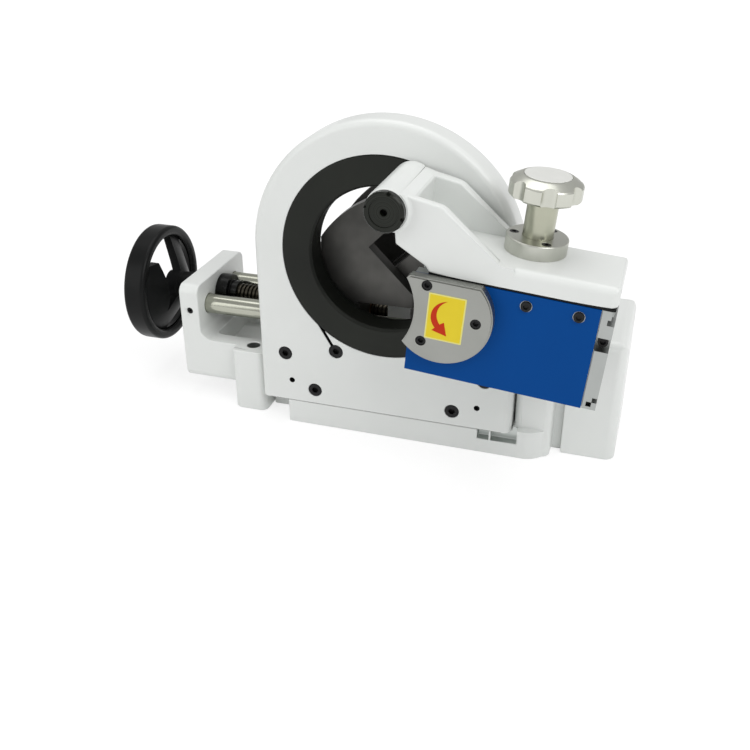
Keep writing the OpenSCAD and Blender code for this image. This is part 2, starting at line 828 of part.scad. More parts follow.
module vee_plate(y) {
  slab_y(y, y + plate_t) translate([apex_in, axis_h]) difference() {
    intersection() {
      translate([-plate_back, plate_foot - axis_h])
        square([plate_back + plate_tip, 2 * vee_half + plate_foot]);
      translate([shoulder_cx, -shoulder_cz]) circle(shoulder_r, $fn = 128);
    }
    polygon([[0, 0], [2 * vee_half, 2 * vee_half], [2 * vee_half, -2 * vee_half]]);
    translate([vee_half, -vee_half]) square(vee_half);
  }
  box(apex_in - plate_back, apex_in - plate_back + carriage_l - 2, y, y + plate_t, carriage_top,
      plate_foot + eps);
}

function plate_rows(inner) =
  [for (side = [-1, 1]) side * (carriage_half_w - inner * (plate_t + plate_gap) - plate_t / 2)];

module vee_plates(inner) {
  for (y = plate_rows(inner)) difference() {
    vee_plate(y - plate_t / 2);
    for (z = [jaw_screw_low, jaw_screw_high])
      rod_x(y, z, apex_in - plate_back - 1, apex_in - plate_back + 16, m8[2]);
  }
}

module jaw_screws(inner) {
  color(black) for (y = plate_rows(inner), z = [jaw_screw_low, jaw_screw_high])
    translate([apex_in - plate_back - upright_t, y, z]) rotate([0, -90, 0]) cap_screw(m8, upright_t + 14);
}

module bored_carriage(inner) {
  color(jaw_grey) difference() {
    carriage();
    for (y = plate_rows(inner), z = [jaw_screw_low, jaw_screw_high])
      rod_x(y, z, apex_in - carriage_back - 1, apex_in - plate_back + 1, m8[2] + side_gap);
  }
}

module left_carriage() {
  bored_carriage(0);
}

module left_jaw_nut() {
  jaw_nut();
}

module left_vee_plates() {
  color(jaw_grey) vee_plates(0);
}

module left_jaw_screws() {
  jaw_screws(0);
}

module right_carriage() {
  mirror([1, 0, 0]) bored_carriage(1);
}

module right_jaw_nut() {
  mirror([1, 0, 0]) jaw_nut();
}

module right_vee_plates() {
  color(jaw_grey) mirror([1, 0, 0]) vee_plates(1);
}

module right_jaw_screws() {
  mirror([1, 0, 0]) jaw_screws(1);
}

// Orbit ring

module orbit_ring() {
  color(charcoal) difference() {
    translate([0, retainer_y, axis_h]) rotate([90, 0, 0]) rotate_extrude($fn = 128) polygon([
      [ring_bore_r, 0],
      [ring_neck_r, 0],
      [ring_neck_r, retainer_y - face_y - ring_flange_t],
      [ring_r, retainer_y - face_y - ring_flange_t],
      [ring_r, retainer_y - face_y - 1],
      [ring_r - 1, retainer_y - face_y],
      [ring_bore_r + ring_chamfer, retainer_y - face_y],
      [ring_bore_r, retainer_y - face_y - ring_chamfer]
    ]);
    rod_y(pivot_x, axis_h + pivot_up, face_y - 1, face_y + pin_seat, pin_r);
    retainer_places() translate([0, 0, -13]) cylinder(h = 14, r = m6[2]);
  }
}

module retainer_places() {
  for (i = [0:retainer_screw_n - 1]) translate([0, retainer_y, axis_h])
    rotate([0, 360 * (i + 0.5) / retainer_screw_n, 0]) translate([retainer_screw_circle, 0, 0])
      rotate([-90, 0, 0]) children();
}

module ring_retainer() {
  color(charcoal) difference() {
    rod_y(0, axis_h, retainer_y, retainer_y + retainer_t, ring_r, $fn = 128);
    rod_y(0, axis_h, retainer_y - 1, retainer_y + retainer_t + 1, ring_bore_r + 1, $fn = 128);
    retainer_places() {
      translate([0, 0, -1]) cylinder(h = retainer_t + 2, r = m6[2] + side_gap);
      translate([0, 0, retainer_t - m6[1]]) cylinder(h = m6[1] + 1, r = m6[0] + side_gap);
    }
  }
}

module retainer_screws() {
  color(black) retainer_places() translate([0, 0, retainer_t - m6[1]]) cap_screw(m6, 14);
}

module pivot_pin() {
  front_y = face_y - boss_front - pivot_nut_t;
  color(steel) difference() {
    union() {
      rod_y(pivot_x, axis_h + pivot_up, front_y + head_t - eps, face_y + pin_seat, pin_r);
      rod_y(pivot_x, axis_h + pivot_up, front_y + 0.8, front_y + head_t, pin_head_r);
    }
    rod_y(pivot_x, axis_h + pivot_up, front_y, front_y + 10, 3.5);
  }
}

module pivot_nut() {
  front_y = face_y - boss_front - pivot_nut_t;
  back = pivot_nut_t - side_gap;
  spigot_r = pin_r + 4.5;
  color(black) translate([pivot_x, front_y, axis_h + pivot_up]) rotate([-90, 0, 0]) difference() {
    rotate_extrude() polygon([
      [pin_head_r, 0],
      [pivot_nut_r - nut_chamfer, 0],
      [pivot_nut_r, nut_chamfer],
      [pivot_nut_r, back],
      [spigot_r, back],
      [spigot_r, pivot_nut_t + 6],
      [pin_r, pivot_nut_t + 6],
      [pin_r, head_t],
      [pin_head_r, head_t]
    ]);
    for (i = [0:3]) rotate(90 * i - 75) translate([pivot_nut_r - 1, 0, -1]) cylinder(h = 5, r = 2, $fn = 24);
  }
}

// Swing arm, drawn in the tilted frame of the head

arm_rows = [
  [0, boss_r - 1, 0],
  [23, 15, 20],
  [53, 11, 16],
  [113, -deck_top, 12],
  [126, -deck_top, 0],
  [126, -deck_bottom, 0],
  [46, -deck_bottom, 4],
  [42.5, -deck_bottom + 5.2, 4],
  [11, -boss_r - 12, 3],
  [9, -boss_r - 1, 0],
  [0, -boss_r + 1, 0]
];

module arm_outline() {
  polygon(round_path(arm_rows));
}

module arm_deck() {
  depth = arm_front - arm_rear;
  height = deck_bottom - deck_top;
  left = slope_end;
  intersection() {
    slab_x(left, deck_right) translate([face_y - arm_front, -deck_bottom]) crowned(depth, height, deck_round);
    slab_y(face_y - arm_front, face_y - arm_rear)
      translate([2 * left - deck_right, -deck_bottom])
        crowned(2 * (deck_right - left), height, deck_round / 2);
    slab_z(-deck_bottom, -deck_top)
      translate([left, face_y - arm_front + depth / 2]) rounded(2 * (deck_right - left), depth, deck_round);
  }
}

// What closes the arm's pocket at the left: an upright end and a sloping floor
module pocket_end() {
  low = -deck_bottom - 1;
  translate([0, low]) square([pocket_left, 2 * deck_bottom]);
  polygon([[pocket_left - 1, low], [pocket_left - 1, -deck_top + 14], [slope_end, -deck_top],
      [slope_end + 1, -deck_top],
    [slope_end + 1, low]]);
}

// Hollow rounding round the foot of the boss, kept to the arm's outline
module boss_blend() {
  intersection() {
    translate([0, face_y - arm_front, 0]) rotate([90, 0, 0]) rotate_extrude() translate([boss_r, 0])
      difference() {
      translate([-1, -1]) square(boss_fillet + 1);
      translate([boss_fillet, boss_fillet]) circle(boss_fillet);
    }
    slab_y(face_y - arm_front - boss_fillet, face_y - arm_front + 1) arm_outline();
  }
}

module arm_casting() {
  bush_bore = pin_r + pivot_bush_t;
  color(white) in_head() difference() {
    union() {
      rod_y(0, 0, face_y - boss_front, face_y - boss_rear, boss_r);
      slab_y(face_y - arm_front, face_y - arm_front + front_wall_t) arm_outline();
      slab_y(face_y - arm_rear - rear_wall_t, face_y - arm_rear) arm_outline();
      slab_y(face_y - arm_front, face_y - arm_rear) intersection() {
        arm_outline();
        pocket_end();
      }
      arm_deck();
      boss_blend();
    }
    rod_y(0, 0, face_y - boss_front - 1, face_y - boss_rear + 1, bush_bore);
    rod_y(0, 0, face_y - boss_front - 1, face_y - boss_front + 7, pin_r + 5);
    rod_z(knob_x, knob_y, -deck_bottom - 1, -deck_top + 1, pitch_r + tooth_m + 0.5);
    for (a = flange_angles) flange_screw_place(a) translate([0, 0, -14]) cylinder(h = 15, r = m5[2]);
    for (x = rail_screw_x) rod_z(x, face_y - rail_off, -deck_bottom - 1, -deck_bottom + 14, m6[2]);
  }
}

flange_angles = [-60, 60, 180];
rail_screw_x = [68, 130, 192];

module flange_screw_place(a) {
  translate([knob_x, knob_y, -deck_top]) rotate(a) translate([flange_screw_circle, 0, 0]) children();
}

module pivot_bushes() {
  l = 18;
  color(bronze) in_head() difference() {
    for (y = [face_y - boss_front + 7.5, face_y - boss_rear - l]) rod_y(0, 0, y, y + l, pin_r + pivot_bush_t);
    rod_y(0, 0, face_y - boss_front, face_y, pin_r + run_gap);
  }
}

module slide_strip() {
  near = face_y - rail_off;
  color(black) in_head() {
    box(slide_left - 1, deck_right - 1, face_y - arm_front + 1, near - rail_neck - side_gap, strip_low,
        -deck_bottom);
    box(slide_left - 1, deck_right - 1, near + rail_neck + side_gap, rabbet_y - 1, strip_low, -deck_bottom);
  }
}

module slide_rail() {
  neck_low = block_top - 4;
  color(steel) in_head() difference() {
    slab_x(slide_left, deck_right - 2) translate([face_y - rail_off, 0]) {
      translate([-rail_neck, neck_low - rail_foot_t])
        square([2 * rail_neck, -deck_bottom - neck_low + rail_foot_t]);
      translate([-rail_foot, neck_low - rail_foot_t]) square([2 * rail_foot, rail_foot_t]);
    }
    for (x = rail_screw_x) {
      rod_z(x, face_y - rail_off, neck_low - rail_foot_t - 1, -deck_bottom + 1, m6[2] + side_gap);
      rod_z(x, face_y - rail_off, neck_low - rail_foot_t - 1, neck_low - rail_foot_t + m6[1],
          m6[0] + side_gap);
    }
  }
}

module rail_screws() {
  seat = block_top - 4 - rail_foot_t + m6[1];
  color(black) in_head() for (x = rail_screw_x) translate([x, face_y - rail_off, seat])
    rotate([180, 0, 0]) cap_screw(m6, -deck_bottom + 12 - seat);
}

module knob_flange() {
  color(silver) in_head() difference() {
    union() {
      rod_z(knob_x, knob_y, -deck_top, -deck_top + flange_t - 1, flange_r);
      translate([knob_x, knob_y, -deck_top + flange_t - 1]) cylinder(h = 1, r1 = flange_r, r2 = flange_r - 1);
    }
    rod_z(knob_x, knob_y, -deck_top - 1, -deck_top + flange_t + 1, sleeve_r + run_gap);
    for (a = flange_angles) flange_screw_place(a) {
      translate([0, 0, -1]) cylinder(h = flange_t + 2, r = m5[2] + side_gap);
      translate([0, 0, flange_t - m5[1]]) cylinder(h = m5[1] + 1, r = m5[0] + side_gap);
    }
  }
}

module flange_screws() {
  color(black) in_head() for (a = flange_angles) flange_screw_place(a) translate([0, 0, flange_t - m5[1]])
    cap_screw(m5, flange_t - m5[1] + 12);
}

// Feed gearing between the knob and the tool block

function pinion_row(i) = -90 + (i + 0.5) * 360 / pinion_n;

module pinion_outline() {
  base_half_w = tooth_m * 1.05 - backlash / 2;
  tip_half_w = tooth_m * 0.42 - backlash / 4;
  circle(pitch_r - 1.2 * tooth_m);
  for (i = [0:pinion_n - 1]) rotate(pinion_row(i)) polygon([
    [pitch_r - 1.5 * tooth_m, -base_half_w],
    [pitch_r + 0.85 * tooth_m, -tip_half_w],
    [pitch_r + 0.85 * tooth_m, tip_half_w],
    [pitch_r - 1.5 * tooth_m, base_half_w]
  ]);
}

module feed_shaft() {
  neck_r = pitch_r - 1.5 * tooth_m;
  color(steel) in_head() {
    translate([knob_x, knob_y, pinion_low]) linear_extrude(pinion_high - pinion_low) pinion_outline();
    rod_z(knob_x, knob_y, pinion_low, -deck_top, neck_r);
    rod_z(knob_x, knob_y, -deck_top + side_gap, knob_low, sleeve_r);
    rod_z(knob_x, knob_y, -deck_top - eps, -deck_top + side_gap + eps, neck_r);
    rod_z(knob_x, knob_y, knob_low, knob_low + knob_h - 2, nose_r);
  }
}

module feed_rack() {
  pitch = PI * tooth_m;
  count = floor((rack_right - rack_left - 2 * pitch) / pitch / 2);
  root_y = rack_pitch_y - 1.15 * tooth_m;
  tip_half_w = pitch / 4 - 0.36 * tooth_m * 0.85 - backlash / 2;
  root_half_w = pitch / 4 + 0.36 * tooth_m * 1.15 - backlash / 2;
  color(steel) in_head() difference() {
    slab_z(pinion_low - 1, pinion_high) {
      translate([rack_left, rabbet_y]) square([rack_right - rack_left, root_y - rabbet_y]);
      for (i = [-count + 1:count - 1]) translate([knob_x + i * pitch, 0]) polygon([
        [-root_half_w, root_y - eps],
        [root_half_w, root_y - eps],
        [tip_half_w, rack_pitch_y + 0.85 * tooth_m],
        [-tip_half_w, rack_pitch_y + 0.85 * tooth_m]
      ]);
    }
    for (x = rack_screw_x) {
      rod_y(x, rack_screw_z, rabbet_y - 1, rack_pitch_y + 2, m5[2] + side_gap);
      rod_y(x, rack_screw_z, root_y - m5[1], rack_pitch_y + 2, m5[0] + side_gap);
    }
  }
}

rack_screw_x = [rack_left + 7, rack_right - 7];
rack_screw_z = (pinion_low - 1 + pinion_high) / 2;
rack_screw_l = 5.5;
rack_tip_y = rack_pitch_y - 1.15 * tooth_m - m5[1] - rack_screw_l;

module rack_screws() {
  color(black) in_head() for (x = rack_screw_x)
    translate([x, rack_pitch_y - 1.15 * tooth_m - m5[1], rack_screw_z]) rotate([-90, 0, 0])
      cap_screw(m5, rack_screw_l);
}

module knob_profile() {
  polygon([
    [0, 0],
    [knob_r - 2, 0],
    [knob_r, 2],
    [knob_r, knob_h - 2],
    [knob_r - 1.5, knob_h],
    [cap_r + 4, knob_h + dome_h * 0.75],
    [cap_r + 1, knob_h + dome_h],
    [0, knob_h + dome_h]
  ]);
}

module feed_knob() {
  color(silver) in_head() translate([knob_x, knob_y, knob_low]) difference() {
    rotate_extrude() knob_profile();
    translate([0, 0, -1]) cylinder(h = knob_h, r = nose_r);
    translate([0, 0, knob_h + dome_h - 2]) cylinder(h = 3, r = cap_r);
    for (i = [0:hollow_n - 1]) rotate((i + 0.5) * 360 / hollow_n) translate([knob_r + hollow_r - 4.5, 0, -1])
      cylinder(h = knob_h + dome_h + 2, r = hollow_r, $fn = 48);
  }
}

module knob_cap() {
  color(silver) in_head()
    rod_z(knob_x, knob_y, knob_low + knob_h + dome_h - 2, knob_low + knob_h + dome_h + 0.5, cap_r - 0.4);
}

// Tool block with its gearing

module block_outline(right) {
  difference() {
    translate([block_left, -block_bottom]) square([right - block_left, block_top + block_bottom]);
    translate([pipe_hx, pipe_hz]) circle(relief_r, $fn = 128);
  }
}

module tool_block() {
  color(steel) in_head() difference() {
    union() {
      slab_y(face_y - block_front, face_y - block_rear) block_outline(block_right);
      box(face_right + 0.8, block_right, face_y - land_front, face_y - block_front + 1, -block_bottom,
          block_top);
    }
    rail_slot();
    box(0, block_right + 1, rabbet_y, face_y, rabbet_low, block_top + 1);
    rod_y(spin_x, spin_z, face_y - block_front - 1, face_y - mid_off, bearing_r);
    rod_y(spin_x, spin_z, face_y - mid_off - 9, face_y - mid_off + 9, wheel_pitch_r + 2.5);
    rod_y(spin_x, spin_z, face_y - mid_off, face_y, bearing_r);
    rod_x(face_y - mid_off, worm_z, worm_left, block_right, worm_bore_r);
    rod_x(face_y - mid_off, worm_z, block_right - socket_l, block_right + 1, socket_r);
    box(block_right - socket_l, block_right + 1, face_y - mid_off - 1, face_y - mid_off + 1, worm_z,
        -pinch_z + pinch_side / 2 + 4);
    box(face_right, block_right + 1, face_y - face_front, face_y - face_front + 14,
        -pinch_z - pinch_side / 2, -pinch_z + pinch_side / 2);
    rod_y(pinch_x, -pinch_z, face_y - face_front, face_y - 44, m6[2]);
    end_notches();
    for (x = face_screw_x)
      rod_y(x, -face_screw_z, face_y - block_front - 1, face_y - block_front + 5.5, m6[2]);
    for (p = cover_screw_rows) rod_y(p[0], p[1], face_y - block_front - 1, face_y - block_front + 5.5, m6[2]);
    for (x = rack_screw_x) rod_y(x, rack_screw_z, rack_tip_y - side_gap, rabbet_y + 1, m5[2]);
  }
}

pinch_x = (face_right + block_right) / 2;
cover_x = spin_x - cover_left;
cover_z = spin_z + cover_up;
cover_screw_rows = [for (a = [0, 120, 240]) [cover_x, cover_z] + cover_screw_circle * [cos(a), sin(a)]];

module rail_slot() {
  gap = side_gap;
  neck_low = block_top - 4;
  slab_x(0, block_right + 1) translate([face_y - rail_off, 0]) {
    translate([-rail_neck - gap, neck_low - rail_foot_t]) square([2 * (rail_neck + gap), rail_foot_t + 8]);
    translate([-rail_foot - gap, neck_low - rail_foot_t - gap])
      square([2 * (rail_foot + gap), rail_foot_t + 2 * gap]);
  }
}

module end_notches() {
  slab_y(face_y - face_front, face_y) translate([block_right, 0]) {
    translate([-4, block_top - 9]) square([5, 10]);
    translate([-7, block_top - 14.5]) square([8, 5.5 + eps]);
    translate([-5, -block_bottom + 8]) square([6, 5]);
    translate([-10, -block_bottom + 3]) square([5 + eps, 5 + eps]);
  }
}

module face_plate() {
  color(blue) in_head() difference() {
    slab_y(face_y - face_front, face_y - block_front) block_outline(face_right);
    for (x = face_screw_x) {
      rod_y(x, -face_screw_z, face_y - face_front - 1, face_y - block_front + 1, m6[2] + side_gap);
      rod_y(x, -face_screw_z, face_y - face_front - 1, face_y - face_front + 2, m6[0] + side_gap);
    }
    for (p = cover_screw_rows)
      rod_y(p[0], p[1], face_y - face_front - 1, face_y - block_front + 1, m6[2] + side_gap);
    rod_y(spin_x, spin_z, face_y - face_front - 1, face_y - block_front + 1, bearing_r);
  }
}

module face_screws() {
  color(black) in_head() for (x = face_screw_x)
    face_screw(x, face_y - face_front + 2, -face_screw_z, [m6[0], 4, m6[2], m6[3]], face_t + 3);
}

module cover_outline(inset) {
  difference() {
    intersection() {
      translate([cover_x, cover_z]) circle(cover_r - inset, $fn = 128);
      translate([-cover_r, -3 * cover_r]) square([5 * cover_r, 3 * cover_r - cover_flat - inset]);
    }
    translate([pipe_hx, pipe_hz]) circle(relief_r + inset, $fn = 128);
  }
}

module cover_plate() {
  color(silver) in_head() difference() {
    union() {
      slab_y(face_y - cover_front + cover_chamfer, face_y - face_front) cover_outline(0);
      slab_y(face_y - cover_front, face_y - face_front) cover_outline(cover_chamfer);
    }
    for (p = cover_screw_rows) {
      rod_y(p[0], p[1], face_y - cover_front - 1, face_y - face_front + 1, m6[2] + side_gap);
      rod_y(p[0], p[1], face_y - cover_front - 1, face_y - cover_front + m6[1] + 1, m6[0] + side_gap);
    }
    rod_y(spin_x, spin_z, face_y - face_front - 2, face_y - face_front + 1, bearing_r);
  }
}

module cover_screws() {
  color(black) in_head() for (p = cover_screw_rows)
    face_screw(p[0], face_y - cover_front + m6[1] + 1, p[1], m6, cover_t - m6[1] - 1 + face_t + 5);
}

module pinch_screw() {
  color(black) in_head() face_screw(pinch_x, face_y - face_front + 14, -pinch_z, m6, 32);
}

module spindle_bearings() {
  color(steel) in_head() difference() {
    union() {
      rod_y(spin_x, spin_z, face_y - block_front, face_y - mid_off - 9, bearing_r);
      rod_y(spin_x, spin_z, face_y - mid_off + 9, face_y - block_rear - 4, bearing_r);
    }
    rod_y(spin_x, spin_z, face_y - face_front, face_y, bearing_bore + run_gap);
  }
}

module spindle() {
  color(steel) in_head() {
    rod_y(spin_x, spin_z, face_y - face_front + 0.5, face_y - block_rear - 4, bearing_bore);
    rod_y(spin_x, spin_z, face_y - block_rear - 4 - eps, face_y - 17, nose_r);
  }
}

module worm_wheel() {
  color(bronze) in_head() difference() {
    rod_y(spin_x, spin_z, face_y - mid_off - 7, face_y - mid_off + 7, wheel_pitch_r);
    rod_y(spin_x, spin_z, face_y - mid_off - 8, face_y - mid_off + 8, bearing_bore);
  }
}

module worm_bearings() {
  y = face_y - mid_off;
  color(steel) in_head() difference() {
    union() {
      rod_x(y, worm_z, worm_left, worm_left + 8, worm_bore_r);
      rod_x(y, worm_z, spin_x + 32, spin_x + 44, worm_bore_r);
    }
    rod_x(y, worm_z, worm_left - 1, block_right, 6 + run_gap);
  }
}

module worm_shaft() {
  y = face_y - mid_off;
  drive_end = block_right - socket_l - 1;
  color(steel) in_head() difference() {
    union() {
      rod_x(y, worm_z, worm_left + 0.5, drive_end, 6);
      rod_x(y, worm_z, spin_x - 15.5, spin_x + 15.5, worm_r);
      rod_x(y, worm_z, drive_end - 26, drive_end, 9);
    }
    translate([drive_end - 14, y, worm_z]) rotate([0, 90, 0]) cylinder(h = 15, r = 6, $fn = 6);
  }
}

module blade_flange() {
  color(steel) in_head() difference() {
    rod_y(spin_x, spin_z, face_y - block_rear - 3.5, face_y - blade_off, 15);
    rod_y(spin_x, spin_z, face_y - block_rear - 5, face_y - blade_off + 1, nose_r);
  }
}

module saw_blade() {
  step = 360 / blade_n;
  color(bright) in_head() difference() {
    slab_y(face_y - blade_off, face_y - blade_off + blade_t) translate([spin_x, spin_z])
      polygon([for (i = [0:blade_n - 1]) each [
      blade_r * [cos(i * step), sin(i * step)],
      (blade_r - 2.6) * [cos((i + 0.25) * step), sin((i + 0.25) * step)]
    ]]);
    rod_y(spin_x, spin_z, face_y - blade_off - 1, face_y - blade_off + blade_t + 1, nose_r);
  }
}

module blade_nut() {
  start = face_y - blade_off + blade_t;
  color(black) in_head() difference() {
    union() {
      rod_y(spin_x, spin_z, start, start + 2, 14);
      translate([spin_x, start, spin_z]) rotate([-90, 0, 0]) cylinder(h = 9, r = 13.8, $fn = 6);
    }
    rod_y(spin_x, spin_z, start - 1, start + 10, nose_r);
  }
}

base_casting();
bed_floor();
end_block();
front_housing();
housing_bolts();
dowel_pins();
ring_lock_screw();
guide_rods();
rod_set_screws();
screw_bushes();
screw_centre_block();
centre_block_screws();
lead_screw();
thrust_collar();
handwheel();
wheel_set_screw();
left_carriage();
left_jaw_nut();
left_vee_plates();
left_jaw_screws();
right_carriage();
right_jaw_nut();
right_vee_plates();
right_jaw_screws();
orbit_ring();
ring_retainer();
retainer_screws();
pivot_pin();
pivot_nut();
arm_casting();
pivot_bushes();
slide_strip();
slide_rail();
rail_screws();
knob_flange();
flange_screws();
tool_block();
face_plate();
face_screws();
cover_plate();
cover_screws();
feed_rack();
rack_screws();
pinch_screw();
spindle_bearings();
worm_bearings();
feed_shaft();
feed_knob();
knob_cap();
spindle();
worm_wheel();
blade_flange();
saw_blade();
blade_nut();
worm_shaft();
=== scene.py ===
"""Finishes and studio for the pipe bevelling machine.

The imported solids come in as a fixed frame, in metres. The classes below round their edges, give every
surface its finish, and add the screw's thread, the direction plate and other fine work.
"""

import logging
import math
from dataclasses import dataclass, field, replace
from enum import Enum
from typing import Any, Sequence

import bmesh
import bpy
from mathutils import Matrix, Vector


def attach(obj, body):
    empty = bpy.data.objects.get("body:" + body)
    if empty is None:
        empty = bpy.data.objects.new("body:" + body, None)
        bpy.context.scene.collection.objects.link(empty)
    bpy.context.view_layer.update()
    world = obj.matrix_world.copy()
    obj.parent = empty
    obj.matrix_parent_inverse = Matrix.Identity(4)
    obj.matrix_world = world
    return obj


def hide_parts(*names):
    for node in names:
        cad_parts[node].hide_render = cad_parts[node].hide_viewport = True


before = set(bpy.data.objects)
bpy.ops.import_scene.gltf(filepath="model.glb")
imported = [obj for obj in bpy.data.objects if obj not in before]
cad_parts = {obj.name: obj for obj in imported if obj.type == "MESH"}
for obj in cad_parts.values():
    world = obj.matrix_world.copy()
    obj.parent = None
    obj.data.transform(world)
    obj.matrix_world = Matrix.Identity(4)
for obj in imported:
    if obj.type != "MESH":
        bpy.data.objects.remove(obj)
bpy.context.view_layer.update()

LOG = logging.getLogger("bevelling_machine")
MM = 0.001
Spot = tuple[float, float]
Point = tuple[float, float, float]
Tree = bpy.types.NodeTree
Node = bpy.types.Node
Socket = bpy.types.NodeSocket

# Octaves of noise in fine marks, in slow variation and in a filler's hollows
MARK_DETAIL = 2.0
DRIFT_DETAIL = 3.0
WAVE_DETAIL = 1.0
# Middle of a noise's range
NOISE_MIDDLE = 0.5
# Colour of the light in the studio
PLAIN_WHITE = "#FFFFFF"


def linear(code: str) -> tuple[float, float, float, float]:
    """Turns an sRGB hex colour into linear light.

    Args:
        code: colour as six hex digits after a hash.

    Returns:
        Red, green, blue and alpha for a shader socket.
    """
    parts = [int(code[i:i + 2], 16) / 255 for i in (1, 3, 5)]
    red, green, blue = (c / 12.92 if c <= 0.04045 else ((c + 0.055) / 1.055) ** 2.4 for c in parts)
    return red, green, blue, 1.0


def add_node(tree: Tree, kind: str, inputs: dict[Any, Any] | None = None, **settings: Any) -> Node:
    """Adds one node with its settings and links.

    Args:
        tree: node tree that takes the node.
        kind: Blender's name for the node type.
        inputs: value or output socket for each input, by name or number.
        settings: properties of the node itself.

    Returns:
        The new node.
    """
    node = tree.nodes.new(kind)
    for name, value in settings.items():
        setattr(node, name, value)
    for key, value in (inputs or {}).items():
        if isinstance(value, Socket):
            tree.links.new(value, node.inputs[key])
        else:
            node.inputs[key].default_value = value
    return node


class Lay(Enum):
    """Ways that the fine marks of a surface can run."""

    EVEN = "even"
    STREAKS = "streaks"
    RINGS = "rings"


@dataclass(frozen=True)
class Place:
    """Frame in which a finish's marks run.

    Attributes:
        origin: centre of the marks, in mm.
        tilt: turn of the frame about Y, in degrees.
        axis: 0, 1 or 2 for the axis that streaks follow or rings go round.
    """

    origin: Point = (0.0, 0.0, 0.0)
    tilt: float = 0.0
    axis: int = 0


@dataclass(frozen=True)
class Finish:
    """One surface finish, with its marks and its slow variation.

    Attributes:
        name: common name of the material and how its surface was made.
        slot: the record's material slot; not used.
        colour: main colour.
        shade: colour that the main one drifts to.
        metallic: 1 for bare metal.
        roughness: middle roughness.
        spread: how far the marks move the roughness either way.
        grain: spacing of the marks, in mm.
        relief: height of the marks, in mm.
        patch: size of the slow variation, in mm.
        lay: how the marks run.
        stretch: length of a streak, in spacings.
        coat: weight of a clear gloss layer.
        gloss: share of light that the surface mirrors; metal keeps 0.5.
        contrast: how strongly the slow variation shows.
        place: frame of the marks.
    """

    name: str
    slot: str
    colour: str
    shade: str
    metallic: float
    roughness: float
    spread: float
    grain: float
    relief: float
    patch: float
    lay: Lay = Lay.EVEN
    stretch: float = 1.0
    coat: float = 0.0
    gloss: float = 0.5
    contrast: float = 1.0
    place: Place = Place()

    def at(self, tag: str, place: Place) -> "Finish":
        """Gives the same finish with its marks about another place."""
        return replace(self, name=f"{self.name}_{tag}", place=place)

    def marks(self, tree: Tree, spot: Socket) -> Socket:
        """Draws the fine marks.

        Args:
            tree: material's node tree.
            spot: position on the object.

        Returns:
            Height of the marks, from 0 to 1.
        """
        size = [self.grain * MM] * 3
        if self.lay is Lay.STREAKS:
            size[self.place.axis] *= self.stretch
        local = add_node(tree, "ShaderNodeMapping", {
            "Vector": spot,
            "Location": [c * MM for c in self.place.origin],
            "Rotation": (0.0, math.radians(self.place.tilt), 0.0),
            "Scale": size,
        }, vector_type="TEXTURE").outputs[0]
        if self.lay is not Lay.RINGS:
            grains = {"Vector": local, "Scale": 1.0, "Detail": MARK_DETAIL}
            return add_node(tree, "ShaderNodeTexNoise", grains).outputs[0]
        keep = [1.0, 1.0, 1.0]
        keep[self.place.axis] = 0.0
        across = add_node(tree, "ShaderNodeVectorMath", {0: local, 1: keep}, operation="MULTIPLY")
        radius = add_node(tree, "ShaderNodeVectorMath", {0: across.outputs[0]}, operation="LENGTH")
        rings = {"W": radius.outputs["Value"], "Scale": 1.0, "Detail": MARK_DETAIL}
        return add_node(tree, "ShaderNodeTexNoise", rings, noise_dimensions="1D").outputs[0]

    def channels(self, tree: Tree, spot: Socket) -> dict[str, Any]:
        """Works out what the shader needs.

        Args:
            tree: material's node tree.
            spot: position on the object.

        Returns:
            Shader input values and sockets by name.
        """
        marks = self.marks(tree, spot)
        drift = add_node(tree, "ShaderNodeTexNoise", {
            "Vector": spot, "Scale": 1 / (self.patch * MM), "Detail": DRIFT_DETAIL})
        reach = NOISE_MIDDLE / self.contrast
        share = add_node(tree, "ShaderNodeMapRange", {
            "Value": drift.outputs[0], "From Min": NOISE_MIDDLE - reach, "From Max": NOISE_MIDDLE + reach})
        tint = add_node(tree, "ShaderNodeMix", {
            0: share.outputs[0], 6: linear(self.colour), 7: linear(self.shade)}, data_type="RGBA")
        low, high = self.roughness - self.spread, self.roughness + self.spread
        rough = add_node(tree, "ShaderNodeMapRange", {"Value": marks, "To Min": low, "To Max": high})
        bump = add_node(tree, "ShaderNodeBump", {"Height": marks, "Distance": self.relief * MM})
        return {"Base Color": tint.outputs[2], "Roughness": rough.outputs[0], "Normal": bump.outputs[0],
                "Metallic": self.metallic, "Coat Weight": self.coat, "Specular IOR Level": self.gloss}

    def material(self) -> bpy.types.Material:
        """Makes the material, or finds the one made before.

        Returns:
            The material with this finish's name.
        """
        made = bpy.data.materials.get(self.name)
        if made:
            return made
        made = bpy.data.materials.new(self.name)
        made.use_nodes = True
        tree = made.node_tree
        tree.nodes.clear()
        spot = add_node(tree, "ShaderNodeTexCoord").outputs["Object"]
        shader = add_node(tree, "ShaderNodeBsdfPrincipled", self.channels(tree, spot))
        add_node(tree, "ShaderNodeOutputMaterial", {"Surface": shader.outputs[0]})
        return made


class Cut(Enum):
    """Shapes of a zone."""

    BOX = "box"
    BORE = "bore along Y"


